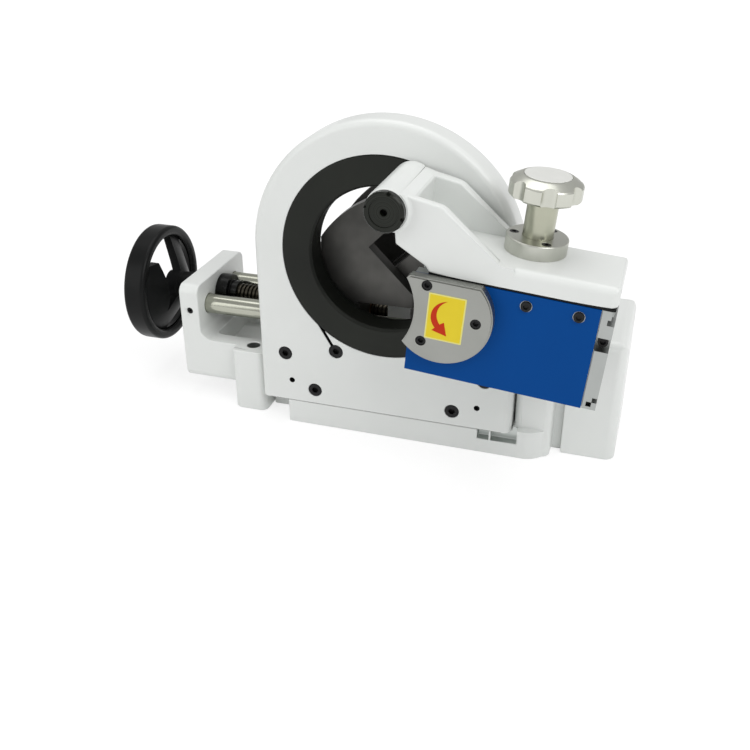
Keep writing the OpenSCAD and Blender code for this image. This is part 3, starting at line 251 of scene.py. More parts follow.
@dataclass(frozen=True)
class Zone:
    """A place on the machine that is treated apart, such as one where a cutter went through the paint.

    Attributes:
        low: lowest corner, in mm.
        high: highest corner, in mm.
        cut: whether the box is filled or holds a round bore.
    """

    low: Point
    high: Point
    cut: Cut = Cut.BOX

    @classmethod
    def bore(cls, x: float, z: float, radius: float, near: float, far: float) -> "Zone":
        """Makes a round zone along Y about a place in the front view."""
        return cls((x - radius, near, z - radius), (x + radius, far, z + radius), Cut.BORE)

    def inside(self, tree: Tree, spot: Socket) -> Socket:
        """Tests which points lie in the zone.

        Args:
            tree: node tree that takes the test.
            spot: position on the object.

        Returns:
            1 inside the zone and 0 outside it.
        """
        low, high = Vector(self.low) * MM, Vector(self.high) * MM
        off = add_node(tree, "ShaderNodeVectorMath", {0: spot, 1: (low + high) / 2}, operation="SUBTRACT")
        shares = {0: off.outputs[0], 1: (high - low) / 2}
        share = add_node(tree, "ShaderNodeVectorMath", shares, operation="DIVIDE")
        side = add_node(tree, "ShaderNodeVectorMath", {0: share.outputs[0]}, operation="ABSOLUTE").outputs[0]
        x, y, z = add_node(tree, "ShaderNodeSeparateXYZ", {0: side}).outputs
        if self.cut is Cut.BOX:
            front = add_node(tree, "ShaderNodeMath", {0: x, 1: z}, operation="MAXIMUM").outputs[0]
        else:
            flat = add_node(tree, "ShaderNodeVectorMath", {0: side, 1: (1.0, 0.0, 1.0)}, operation="MULTIPLY")
            radius = add_node(tree, "ShaderNodeVectorMath", {0: flat.outputs[0]}, operation="LENGTH")
            front = radius.outputs["Value"]
        most = add_node(tree, "ShaderNodeMath", {0: front, 1: y}, operation="MAXIMUM").outputs[0]
        return add_node(tree, "ShaderNodeMath", {0: most, 1: 1.0}, operation="LESS_THAN").outputs[0]


@dataclass(frozen=True)
class Enamel(Finish):
    """Paint over a filled surface, bare where a cutter went through it.

    Attributes:
        wave: spacing of the filler's hollows, in mm.
        wave_relief: depth of the filler's hollows, in mm.
        zones: places that are bare.
        bare: finish of the bare places, or None for paint all over.
    """

    wave: float = 45.0
    wave_relief: float = 0.12
    zones: tuple[Zone, ...] = ()
    bare: Finish | None = None

    def cut_through(self, tag: str, bare: Finish, *zones: Zone) -> "Enamel":
        """Gives the same paint with bare places."""
        return replace(self, name=f"{self.name}_{tag}", bare=bare, zones=zones)

    def channels(self, tree: Tree, spot: Socket) -> dict[str, Any]:
        """Adds the filler's hollows and the bare places to the paint.

        Args:
            tree: material's node tree.
            spot: position on the object.

        Returns:
            Shader input values and sockets by name.
        """
        paint = super().channels(tree, spot)
        hollows = add_node(tree, "ShaderNodeTexNoise", {
            "Vector": spot, "Scale": 1 / (self.wave * MM), "Detail": WAVE_DETAIL})
        waves = add_node(tree, "ShaderNodeBump", {
            "Height": hollows.outputs[0], "Distance": self.wave_relief * MM, "Normal": paint["Normal"]})
        paint["Normal"] = waves.outputs[0]
        if self.bare is None:
            return paint
        inside = self.zones[0].inside(tree, spot)
        for zone in self.zones[1:]:
            either = {0: inside, 1: zone.inside(tree, spot)}
            inside = add_node(tree, "ShaderNodeMath", either, operation="MAXIMUM").outputs[0]
        metal = self.bare.channels(tree, spot)
        tint = add_node(tree, "ShaderNodeMix", {
            0: inside, 6: paint["Base Color"], 7: metal["Base Color"]}, data_type="RGBA")
        rough = add_node(tree, "ShaderNodeMix", {0: inside, 2: paint["Roughness"], 3: metal["Roughness"]})
        shine = add_node(tree, "ShaderNodeMath", {0: inside, 1: self.bare.metallic}, operation="MULTIPLY")
        return paint | {
            "Base Color": tint.outputs[2], "Roughness": rough.outputs[0], "Metallic": shine.outputs[0]}


# The swing head's tilted frame, with the pivot as its origin
HEAD = Place((33.518, 0.0, 312.09), tilt=5.0)
# Axes of the pivot, the pipe, the saw's spindle, the marks on its blade and the vice screw
PIVOT = replace(HEAD, axis=1)
PIPE = Place((0.0, 0.0, 220.0), axis=1)
SPINDLE = Place((93.218, 0.0, 211.8), HEAD.tilt, axis=1)
BLADE = Place((93.2, 0.0, 211.8), HEAD.tilt, axis=1)
SCREW = Place((0.0, 0.0, 118.5))

# Cast iron, face milled: mid grey with coarse cutter lines. They are 0.4 mm apart and drawn at 1.6 to show.
MILLED_IRON = Finish(
    "cast_iron_milled", "machined_steel", "#D3D7D4", "#B9BEBB", metallic=1.0, roughness=0.40, spread=0.10,
    grain=1.6, relief=0.03, patch=30.0, lay=Lay.STREAKS, stretch=14.0, place=Place(axis=1))
# Cast iron, bored and oiled: dark brown grey, partly the bare iron's own colour and partly painted shade, as
# the slit and the bolt holes look inside.
DARK_IRON_AND_SHADE = Finish(
    "cast_iron_oiled_and_painted_shade", "machined_steel", "#3A3936", "#2E2D2A", metallic=0.8, roughness=0.45,
    spread=0.08, grain=1.6, relief=0.02, patch=25.0)
# Two part enamel sprayed on filled castings: cool grey white, soft gloss, faint orange peel of about 2.5 mm.
WHITE_ENAMEL = Enamel(
    "enamel_sprayed_white", "paint_white", "#E6E8E6", "#DDE0DD", metallic=0.0, roughness=0.34, spread=0.05,
    grain=2.5, relief=0.02, patch=90.0, coat=0.15)
# Turned steel, blackened in hot salts: charcoal with an olive cast and faint lathe rings, drawn at 1.2 mm.
BLACKENED_RING = Finish(
    "steel_turned_blackened", "ring_black", "#1F221C", "#111310", metallic=0.3, roughness=0.40, spread=0.06,
    grain=1.2, relief=0.012, patch=110.0, lay=Lay.RINGS, gloss=0.3, contrast=2.0, place=PIPE)
# The same steel on the pivot's pin and nut, rubbed by the spanner: a little more shine.
RUBBED_PIVOT = replace(BLACKENED_RING.at("pivot", PIVOT), roughness=0.28)
# Socket screws in black oxide: near black, oily half gloss, grain of 1 mm drawn coarser than the real one.
BLACK_OXIDE = Finish(
    "steel_black_oxide", "black_oxide", "#121213", "#1C1C1D", metallic=0.55, roughness=0.36, spread=0.08,
    grain=1.0, relief=0.01, patch=8.0)
# Thrust collar in black oxide, polished by its bearing: dark grey with a clear shine.
POLISHED_OXIDE = replace(
    BLACK_OXIDE, name="steel_black_oxide_polished", colour="#2A2B29", metallic=0.9, roughness=0.24)
# Rolled thread in oiled steel: dark olive brown with soft highlights on the crests.
OILED_SCREW = Finish(
    "steel_thread_oiled", "black_oxide", "#4A463C", "#322F29", metallic=0.9, roughness=0.32, spread=0.07,
    grain=1.0, relief=0.008, patch=15.0)
# Ground tool steel: light grey with long straight grinding lines, drawn at 1 mm so that they show.
GROUND_STEEL = Finish(
    "steel_ground", "machined_steel", "#B4B7B5", "#9DA09E", metallic=1.0, roughness=0.34, spread=0.08,
    grain=1.0, relief=0.012, patch=45.0, lay=Lay.STREAKS, stretch=25.0, place=HEAD)
# Hard chrome on ground rod: bright, warm white mirror with very faint lengthwise polish lines.
HARD_CHROME = Finish(
    "steel_hard_chrome", "chrome_rod", "#B9BAAE", "#A7A89B", metallic=1.0, roughness=0.16, spread=0.03,
    grain=0.8, relief=0.002, patch=50.0, lay=Lay.STREAKS, stretch=40.0)
# Aluminium plate, satin blasted: even silver grey whose fine pits are drawn at 0.9 mm to show.
SATIN_ALUMINIUM = Finish(
    "aluminium_satin_blasted", "satin_aluminium", "#A3A4A0", "#969792", metallic=1.0, roughness=0.40,
    spread=0.06, grain=0.9, relief=0.012, patch=40.0, place=HEAD)
# Aluminium knob, turned then tumbled: warm silver with faint rings round its axle.
TURNED_ALUMINIUM = Finish(
    "aluminium_turned", "satin_aluminium", "#D3D4CB", "#C3C4BA", metallic=1.0, roughness=0.33, spread=0.07,
    grain=1.0, relief=0.012, patch=35.0, lay=Lay.RINGS)
# The knob's flange in the same turned aluminium: slightly darker.
FLANGE_ALUMINIUM = replace(
    TURNED_ALUMINIUM, name="aluminium_turned_flange", colour="#C9CAC2", shade="#BCBDB4")
# Aluminium disc pressed into the knob, bead blasted: nearly white and matt.
BLASTED_ALUMINIUM = Finish(
    "aluminium_bead_blasted", "satin_aluminium", "#F2F2EF", "#E8E9E5", metallic=1.0, roughness=0.62,
    spread=0.05, grain=0.9, relief=0.01, patch=20.0)
# Steel plate in blue powder coat: deep even blue, satin, with a soft peel of about 1.5 mm.
BLUE_COAT = Enamel(
    "powder_coat_blue", "blue_plate", "#00468E", "#004186", metallic=0.0, roughness=0.46, spread=0.05,
    grain=1.5, relief=0.02, patch=60.0, gloss=0.08, wave=60.0, wave_relief=0.03)
# Turned steel sleeve, handled and oily: warm olive grey with rings round the axle.
WORN_STEEL = Finish(
    "steel_turned_worn", "machined_steel", "#BCBDAC", "#A9AA99", metallic=1.0, roughness=0.30, spread=0.07,
    grain=1.0, relief=0.012, patch=30.0, lay=Lay.RINGS)
# Cast bearing bronze, bored: warm brown gold with turned lines.
BEARING_BRONZE = Finish(
    "bronze_bored", "bronze", "#A97C45", "#8C6433", metallic=1.0, roughness=0.36, spread=0.08,
    grain=1.0, relief=0.01, patch=20.0, lay=Lay.RINGS, place=SCREW)
# Hardened jaw steel, oiled and blackened: dark warm grey, lighter in strong cloudy patches of painted sheen.
JAW_STEEL = Finish(
    "steel_hardened_oiled", "jaw_steel", "#63625F", "#2B2B29", metallic=0.75, roughness=0.44, spread=0.08,
    grain=1.2, relief=0.012, patch=70.0, lay=Lay.STREAKS, stretch=20.0, contrast=2.0, place=Place(axis=2))
# Phenolic wheel, compression moulded: black with a soft shine and a very fine skin.
WHEEL_PHENOLIC = Finish(
    "phenolic_moulded_black", "wheel_plastic", "#0C0D0D", "#131414", metallic=0.0, roughness=0.34,
    spread=0.06, grain=1.4, relief=0.012, patch=25.0, gloss=0.15)
# High speed steel saw blade, ground: bright grey with rings round the spindle.
BLADE_STEEL = Finish(
    "steel_saw_blade", "blade_steel", "#B0B3B6", "#9A9DA0", metallic=1.0, roughness=0.28, spread=0.07,
    grain=0.9, relief=0.008, patch=20.0, lay=Lay.RINGS, place=BLADE)
# Vinyl label, printed: flat strong yellow.
YELLOW_VINYL = Finish(
    "vinyl_printed_yellow", "blue_plate", "#E2CC28", "#DCC422", metallic=0.0, roughness=0.46, spread=0.05,
    grain=1.2, relief=0.006, patch=18.0, gloss=0.3)
# The label's unprinted margin: pale yellow.
PALE_VINYL = Finish(
    "vinyl_margin_pale", "blue_plate", "#E4DE86", "#DED778", metallic=0.0, roughness=0.46, spread=0.05,
    grain=1.2, relief=0.006, patch=18.0)
# Red ink on the label, a little uneven.
RED_INK = Finish(
    "ink_printed_red", "blue_plate", "#C41E06", "#B8380A", metallic=0.0, roughness=0.5, spread=0.05,
    grain=1.2, relief=0.004, patch=9.0, gloss=0.2)

# Smallest bend between two facets that is shaded as an edge, in degrees
SHADED_BEND = 50.0
# Largest bend between two facets that make one flat face, in degrees
FLAT_BEND = 0.2
# Distance below which two corners of a solid are one, in mm
SAME_CORNER = 0.002


def geometry_group(name: str) -> tuple[Tree, Socket]:
    """Starts a node group that changes a mesh.

    Args:
        name: name of the group.

    Returns:
        The group and the mesh that comes in.
    """
    tree = bpy.data.node_groups.new(name, "GeometryNodeTree")
    for way in ("INPUT", "OUTPUT"):
        tree.interface.new_socket("Geometry", in_out=way, socket_type="NodeSocketGeometry")
    return tree, add_node(tree, "NodeGroupInput").outputs[0]


def shading_group() -> Tree:
    """Makes the node group that shades a solid smooth except at its sharp edges.

    Returns:
        The geometry node group, made once.
    """
    name = "smooth_but_for_sharp_edges"
    made = bpy.data.node_groups.get(name)
    if made:
        return made
    tree, mesh = geometry_group(name)
    bare = {"Geometry": mesh, "Name": "custom_normal"}
    mesh = add_node(tree, "GeometryNodeRemoveAttribute", bare).outputs[0]
    for domain in ("FACE", "EDGE"):
        smooth = {"Geometry": mesh, "Shade Smooth": True}
        mesh = add_node(tree, "GeometryNodeSetShadeSmooth", smooth, domain=domain).outputs[0]
    bend = add_node(tree, "GeometryNodeInputMeshEdgeAngle").outputs[0]
    limit = {0: bend, 1: math.radians(SHADED_BEND)}
    sharp = add_node(tree, "FunctionNodeCompare", limit, operation="GREATER_THAN").outputs[0]
    edges = {"Geometry": mesh, "Selection": sharp, "Shade Smooth": False}
    mesh = add_node(tree, "GeometryNodeSetShadeSmooth", edges, domain="EDGE").outputs[0]
    add_node(tree, "NodeGroupOutput", {0: mesh})
    return tree


def picking_group(name: str, edges: "EdgeBreak") -> Tree:
    """Makes the node group that picks the edges to be rounded.

    Args:
        name: name of the group.
        edges: the rounding.

    Returns:
        The geometry node group.
    """
    tree, mesh = geometry_group(name)
    spot = add_node(tree, "GeometryNodeInputPosition").outputs[0]
    unsigned, signed = add_node(tree, "GeometryNodeInputMeshEdgeAngle").outputs
    limit = {0: unsigned if edges.inner else signed, 1: math.radians(edges.angle)}
    weight = add_node(tree, "ShaderNodeMath", limit, operation="GREATER_THAN").outputs[0]
    for zone in edges.quiet:
        outside = {0: weight, 1: zone.inside(tree, spot)}
        weight = add_node(tree, "ShaderNodeMath", outside, operation="SUBTRACT", use_clamp=True).outputs[0]
    weighted = {"Geometry": mesh, "Name": "bevel_weight_edge", "Value": weight}
    stored = add_node(tree, "GeometryNodeStoreNamedAttribute", weighted, domain="EDGE", data_type="FLOAT")
    add_node(tree, "NodeGroupOutput", {0: stored.outputs[0]})
    return tree


@dataclass(frozen=True)
class EdgeBreak:
    """Rounding of a solid's sharp edges.

    Attributes:
        width: width of the rounding, in mm.
        segments: facets across it.
        angle: smallest bend that counts as an edge, in degrees.
        held: whether a short edge holds all the rounding back.
        quiet: places whose edges stay sharp, where a free rounding would run out of the solid.
        inner: whether inner corners are filled too.
    """

    width: float
    segments: int = 2
    angle: float = 33.0
    held: bool = True
    quiet: tuple[Zone, ...] = ()
    inner: bool = True

    def apply(self, piece: bpy.types.Object) -> None:
        """Stacks the modifiers that round the edges of a piece.

        Args:
            piece: a CAD node's object.
        """
        weld = piece.modifiers.new("weld", "WELD")
        weld.merge_threshold = SAME_CORNER * MM
        flat = piece.modifiers.new("flat", "DECIMATE")
        flat.decimate_type = "DISSOLVE"
        flat.angle_limit = math.radians(FLAT_BEND)
        picked = piece.modifiers.new("picked", "NODES")
        picked.node_group = picking_group(f"{piece.name}_edges", self)
        rounding = piece.modifiers.new("rounding", "BEVEL")
        rounding.width = self.width * MM
        rounding.segments = self.segments
        rounding.limit_method = "WEIGHT"
        rounding.use_clamp_overlap = self.held
        shade = piece.modifiers.new("shade", "NODES")
        shade.node_group = shading_group()
        normals = piece.modifiers.new("normals", "WEIGHTED_NORMAL")
        normals.keep_sharp = True


# Edges of sprayed castings, of the bored housing and of blocks
CAST_EDGE = EdgeBreak(1.6, 3, held=False)
BORED_EDGE = EdgeBreak(0.7, held=False)
BLOCK_EDGE = EdgeBreak(1.5, 3)
# Edges of hand parts, jaws, machined pieces, plates, small pieces and saw teeth
GRIP_EDGE = EdgeBreak(1.2, 3)
JAW_EDGE = EdgeBreak(1.0)
MACHINED_EDGE = EdgeBreak(0.6)
PLATE_EDGE = EdgeBreak(0.5)
SMALL_EDGE = EdgeBreak(0.35)
TOOTH_EDGE = EdgeBreak(0.15, 1)


def make_piece(name: str, mesh: bmesh.types.BMesh, body: str, finish: Finish) -> bpy.types.Object:
    """Turns a mesh into a piece that rides on a body.

    Args:
        name: name of the piece.
        mesh: its shape, in metres; it is used up.
        body: CAD body that it moves with.
        finish: its finish.

    Returns:
        The new object.
    """
    data = bpy.data.meshes.new(name)
    bmesh.ops.recalc_face_normals(mesh, faces=mesh.faces)
    mesh.to_mesh(data)
    mesh.free()
    piece = bpy.data.objects.new(name, data)
    bpy.context.scene.collection.objects.link(piece)
    data.materials.append(finish.material())
    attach(piece, body)
    return piece


@dataclass
class SubAssembly:
    """Pieces that are finished together.

    Attributes:
        body: CAD body that new pieces ride on.
    """

    body: str

    def dress(self, finish: Finish, edges: EdgeBreak, *nodes: str) -> None:
        """Gives CAD nodes their finish and rounded edges.

        Args:
            finish: surface finish.
            edges: rounding of the edges.
            nodes: names of the CAD nodes.
        """
        for name in nodes:
            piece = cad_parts[name]
            edges.apply(piece)
            for slot in piece.material_slots:
                slot.link = "OBJECT"
                slot.material = finish.material()
            LOG.info("%s: %s", name, finish.name)

    def build(self) -> None:
        """Builds and dresses the pieces."""
        raise NotImplementedError


@dataclass
class BedAndHousing(SubAssembly):
    """Base casting with the vice's guides, and the arched housing in front of it.

    Attributes:
        notch: the milled notch under the housing's right corner.
        ear: X, Y and half side of a box round the drilled hole of one bolt ear, in mm.
        ear_hole: Z between which the holes' walls are bare, in mm.
        seat: the housing's bore with its slit, painted dark iron, partly bare metal and partly painted shade.
        seam: the joint line between the housing's foot and the lip, drawn dark as painted shade in the joint.
        dowel: X and Z of a dowel pin and the radius of its hole, in mm.
        dowel_hole: Y between which that hole is painted dark iron, partly bare metal and partly painted
            shade, in mm.
        lip_step: where the lip's round end runs into its front at a tangent.
        rib: the thin rib in the notch.
    """

    notch: Zone = Zone((112.9, -91.9, 17.9), (158.1, -81.9, 56.1))
    ear: Point = (173.0, 60.0, 8.6)
    ear_hole: Spot = (-1.0, 78.0)
    seat: Zone = Zone.bore(0.0, 220.0, 138.0, -91.2, -58.5)
    seam: Zone = Zone((-140.0, -93.0, 29.0), (140.0, -90.0, 30.6))
    dowel: Point = (111.0, 57.0, 4.0)
    dowel_hole: Spot = (-91.7, -58.0)
    lip_step: Zone = Zone((155.0, -93.0, 29.0), (168.0, -80.0, 36.0))
    rib: Zone = Zone((125.5, -93.0, 17.0), (129.5, -81.0, 31.0))

    def drilled(self) -> list[Zone]:
        """Finds the boxes round the four bolt holes.

        Returns:
            One zone for each hole.
        """
        x, y, half = self.ear
        low, high = self.ear_hole
        middles = [(i * x, j * y) for i in (-1, 1) for j in (-1, 1)]
        return [Zone((a - half, b - half, low), (a + half, b + half, high)) for a, b in middles]

    def build(self) -> None:
        """Dresses the fixed group."""
        milled = WHITE_ENAMEL.cut_through("milled", MILLED_IRON, self.notch, *self.drilled())
        self.dress(milled, replace(CAST_EDGE, quiet=(self.lip_step, self.rib)), "base_casting")
        x, z, r = self.dowel
        pins = [Zone.bore(side * x, z, r, *self.dowel_hole) for side in (-1, 1)]
        # Bore, slit, joint line and dowel holes in dark iron: partly bare metal and partly painted shade
        housing = WHITE_ENAMEL.cut_through("bored", DARK_IRON_AND_SHADE, self.seat, self.seam, *pins)
        self.dress(housing, BORED_EDGE, "front_housing")
        self.dress(WHITE_ENAMEL, CAST_EDGE, "end_block")
        self.dress(WHITE_ENAMEL, BLOCK_EDGE, "screw_centre_block", "bed_floor")
        self.dress(BLACK_OXIDE, SMALL_EDGE, "housing_bolts", "ring_lock_screw", "rod_set_screws")
        self.dress(BLACK_OXIDE, SMALL_EDGE, "centre_block_screws", "dowel_pins")
        self.dress(HARD_CHROME, MACHINED_EDGE, "guide_rods")
        self.dress(BEARING_BRONZE, SMALL_EDGE, "screw_bushes")


@dataclass
class ViceScrew(SubAssembly):
    """Screw with a left and a right hand thread, its collar and the handwheel.

    Attributes:
        height: height of the screw's axis, in mm.
        ends: X where the screw starts and ends, in mm.
        seat_end: X where the handwheel's seat ends, in mm.
        thread: X where the threads start and end, in mm.
        seat_r: radius of the handwheel's seat, in mm.
        journal_r: radius of the journals, in mm.
        crest_r: radius of the thread's crests, in mm.
        root_r: radius of the thread's roots, in mm.
        pitch: thread pitch, in mm.
        corners: where the root starts and ends and the crest starts and ends, in pitches.
        segments: facets round the screw.
        join: distance below which two points are one, in mm.
    """

    height: float = SCREW.origin[2]
    ends: Spot = (-312.0, 234.0)
    seat_end: float = -265.0
    thread: Spot = (-213.5, 204.6)
    seat_r: float = 8.0
    journal_r: float = 10.0
    crest_r: float = 11.0
    root_r: float = 8.5
    pitch: float = 5.0
    corners: tuple[float, ...] = (0.0, 0.30, 0.46, 0.84)
    segments: int = 40
    join: float = 0.01

    def point(self, mesh: bmesh.types.BMesh, x: float, radius: float, step: int) -> bmesh.types.BMVert:
        """Adds one point.

        Args:
            mesh: mesh that takes the point.
            x: place along the screw, in mm.
            radius: distance from the axis, in mm.
            step: number of facets that it is turned by.

        Returns:
            The new point.
        """
        turn = math.tau * step / self.segments
        y, z = radius * math.cos(turn), self.height + radius * math.sin(turn)
        return mesh.verts.new((x * MM, y * MM, z * MM))

    def ring(self, mesh: bmesh.types.BMesh, x: float, radius: float) -> list[bmesh.types.BMVert]:
        """Adds one ring of points round the axis, at a place along the screw, in mm."""
        return [self.point(mesh, x, radius, i) for i in range(self.segments)]

    def lathe(self, mesh: bmesh.types.BMesh, rows: Sequence[Spot], cap: int) -> None:
        """Adds a turned length of the screw.

        Args:
            mesh: mesh that takes the faces.
            rows: place and radius of each ring, in mm.
            cap: number of the ring that gets an end face.
        """
        rings = [self.ring(mesh, x, r) for x, r in rows]
        for one, two in zip(rings, rings[1:]):
            for i in range(self.segments):
                j = (i + 1) % self.segments
                mesh.faces.new((one[i], one[j], two[j], two[i]))
        mesh.faces.new(rings[cap])

    def helix(self, mesh: bmesh.types.BMesh, start: float, end: float, hand: int) -> None:
        """Adds a trapezoidal thread between two places.

        Args:
            mesh: mesh that takes the faces.
            start: X where it starts, in mm.
            end: X where it ends, in mm.
            hand: 1 for a right hand thread, -1 for a left hand one.
        """
        section = list(zip(self.corners, (self.root_r, self.root_r, self.crest_r, self.crest_r)))
        # One turn more at each end, which the ends cut off square
        turns = math.ceil((end - start) / self.pitch) + 2
        grid: list[list[bmesh.types.BMVert]] = []
        for k in range(turns * len(section)):
            share, radius = section[k % len(section)]
            base = start + (k // len(section) - 1 + share) * self.pitch
            row = []
            for i in range(self.segments):
                x = base + hand * self.pitch * i / self.segments
                held = min(max(x, start), end)
                row.append(self.point(mesh, held, radius if held == x else self.root_r, i))
            grid.append(row)
        for k in range(len(grid) - 1):
            for i in range(self.segments):
                j = (i + 1) % self.segments
                step = hand * len(section) if j == 0 else 0
                if 0 <= k + step and k + step + 1 < len(grid):
                    mesh.faces.new((grid[k][i], grid[k + 1][i], grid[k + step + 1][j], grid[k + step][j]))

    def threaded(self) -> bpy.types.Object:
        """Makes the whole screw with its two threads.

        Returns:
            The piece that stands for the plain screw.
        """
        mesh = bmesh.new()
        left, right = self.thread
        first, last = self.ends
        seat = ((first, self.seat_r), (self.seat_end, self.seat_r))
        journal = ((self.seat_end, self.journal_r), (left, self.journal_r), (left, self.root_r))
        self.lathe(mesh, seat + journal, cap=0)
        self.helix(mesh, left, 0.0, -1)
        self.helix(mesh, 0.0, right, 1)
        self.lathe(mesh, ((right, self.root_r), (right, self.journal_r), (last, self.journal_r)), cap=-1)
        bmesh.ops.remove_doubles(mesh, verts=mesh.verts, dist=self.join * MM)
        bmesh.ops.dissolve_degenerate(mesh, dist=self.join * MM / 2, edges=mesh.edges)
        return make_piece("vice_screw_threaded", mesh, self.body, OILED_SCREW)

    def build(self) -> None:
        """Cuts the threads and dresses what the screw carries."""
        screw = self.threaded()
        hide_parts("lead_screw")
        LOG.info("%s: %s", screw.name, OILED_SCREW.name)
        self.dress(POLISHED_OXIDE, MACHINED_EDGE, "thrust_collar")
        self.dress(WHEEL_PHENOLIC, GRIP_EDGE, "handwheel")
        self.dress(BLACK_OXIDE, SMALL_EDGE, "wheel_set_screw")


@dataclass
class ViceJaws(SubAssembly):
    """The two carriages with their nuts and V plates."""

    def build(self) -> None:
        """Dresses both jaws."""
        for side in ("left", "right"):
            self.dress(JAW_STEEL, JAW_EDGE, f"{side}_carriage", f"{side}_vee_plates")
            self.dress(BEARING_BRONZE, SMALL_EDGE, f"{side}_jaw_nut")
            self.dress(BLACK_OXIDE, SMALL_EDGE, f"{side}_jaw_screws")


@dataclass
class OrbitRing(SubAssembly):
    """Ring that carries the swing arm round the pipe."""

    def build(self) -> None:
        """Dresses the ring and the pivot."""
        self.dress(BLACKENED_RING, MACHINED_EDGE, "orbit_ring", "ring_retainer")
        self.dress(BLACK_OXIDE, SMALL_EDGE, "retainer_screws")
        self.dress(RUBBED_PIVOT, SMALL_EDGE, "pivot_pin", "pivot_nut")


@dataclass
class SwingArm(SubAssembly):
    """Arm casting with its slide, and the flange that holds the feed knob.

    Attributes:
        knob_axis: a point on the knob's axle, in mm.
        deck_foot: where the walls and the pocket's floor run into the deck at a tangent.
        boss_foot: rear side of the boss, where its foot runs into the wall.
        rounding: width of the casting's rounded edges, in mm.
    """

    knob_axis: Point = (169.0, -127.5, 300.2)
    deck_foot: Zone = Zone((140.0, -192.0, 245.0), (183.0, -90.0, 285.0))
    boss_foot: Zone = Zone((0.0, -98.5, 270.0), (80.0, -95.0, 350.0))
    rounding: float = 2.5

    def build(self) -> None:
        """Dresses the arm."""
        quiet = (self.deck_foot, self.boss_foot)
        cast = replace(CAST_EDGE, width=self.rounding, quiet=quiet, inner=False)
        self.dress(WHITE_ENAMEL, cast, "arm_casting")
        self.dress(BEARING_BRONZE.at("pivot", PIVOT), SMALL_EDGE, "pivot_bushes")
        self.dress(WHEEL_PHENOLIC, SMALL_EDGE, "slide_strip")
        self.dress(GROUND_STEEL, SMALL_EDGE, "slide_rail")
        self.dress(BLACK_OXIDE, SMALL_EDGE, "rail_screws", "flange_screws")
        axle = Place(self.knob_axis, HEAD.tilt, axis=2)
        self.dress(replace(FLANGE_ALUMINIUM, place=axle), MACHINED_EDGE, "knob_flange")
        self.dress(BLASTED_ALUMINIUM, SMALL_EDGE, "knob_cap")
        self.dress(TURNED_ALUMINIUM.at("knob", axle), GRIP_EDGE, "feed_knob")
        self.dress(WORN_STEEL.at("knob", axle), SMALL_EDGE, "feed_shaft")


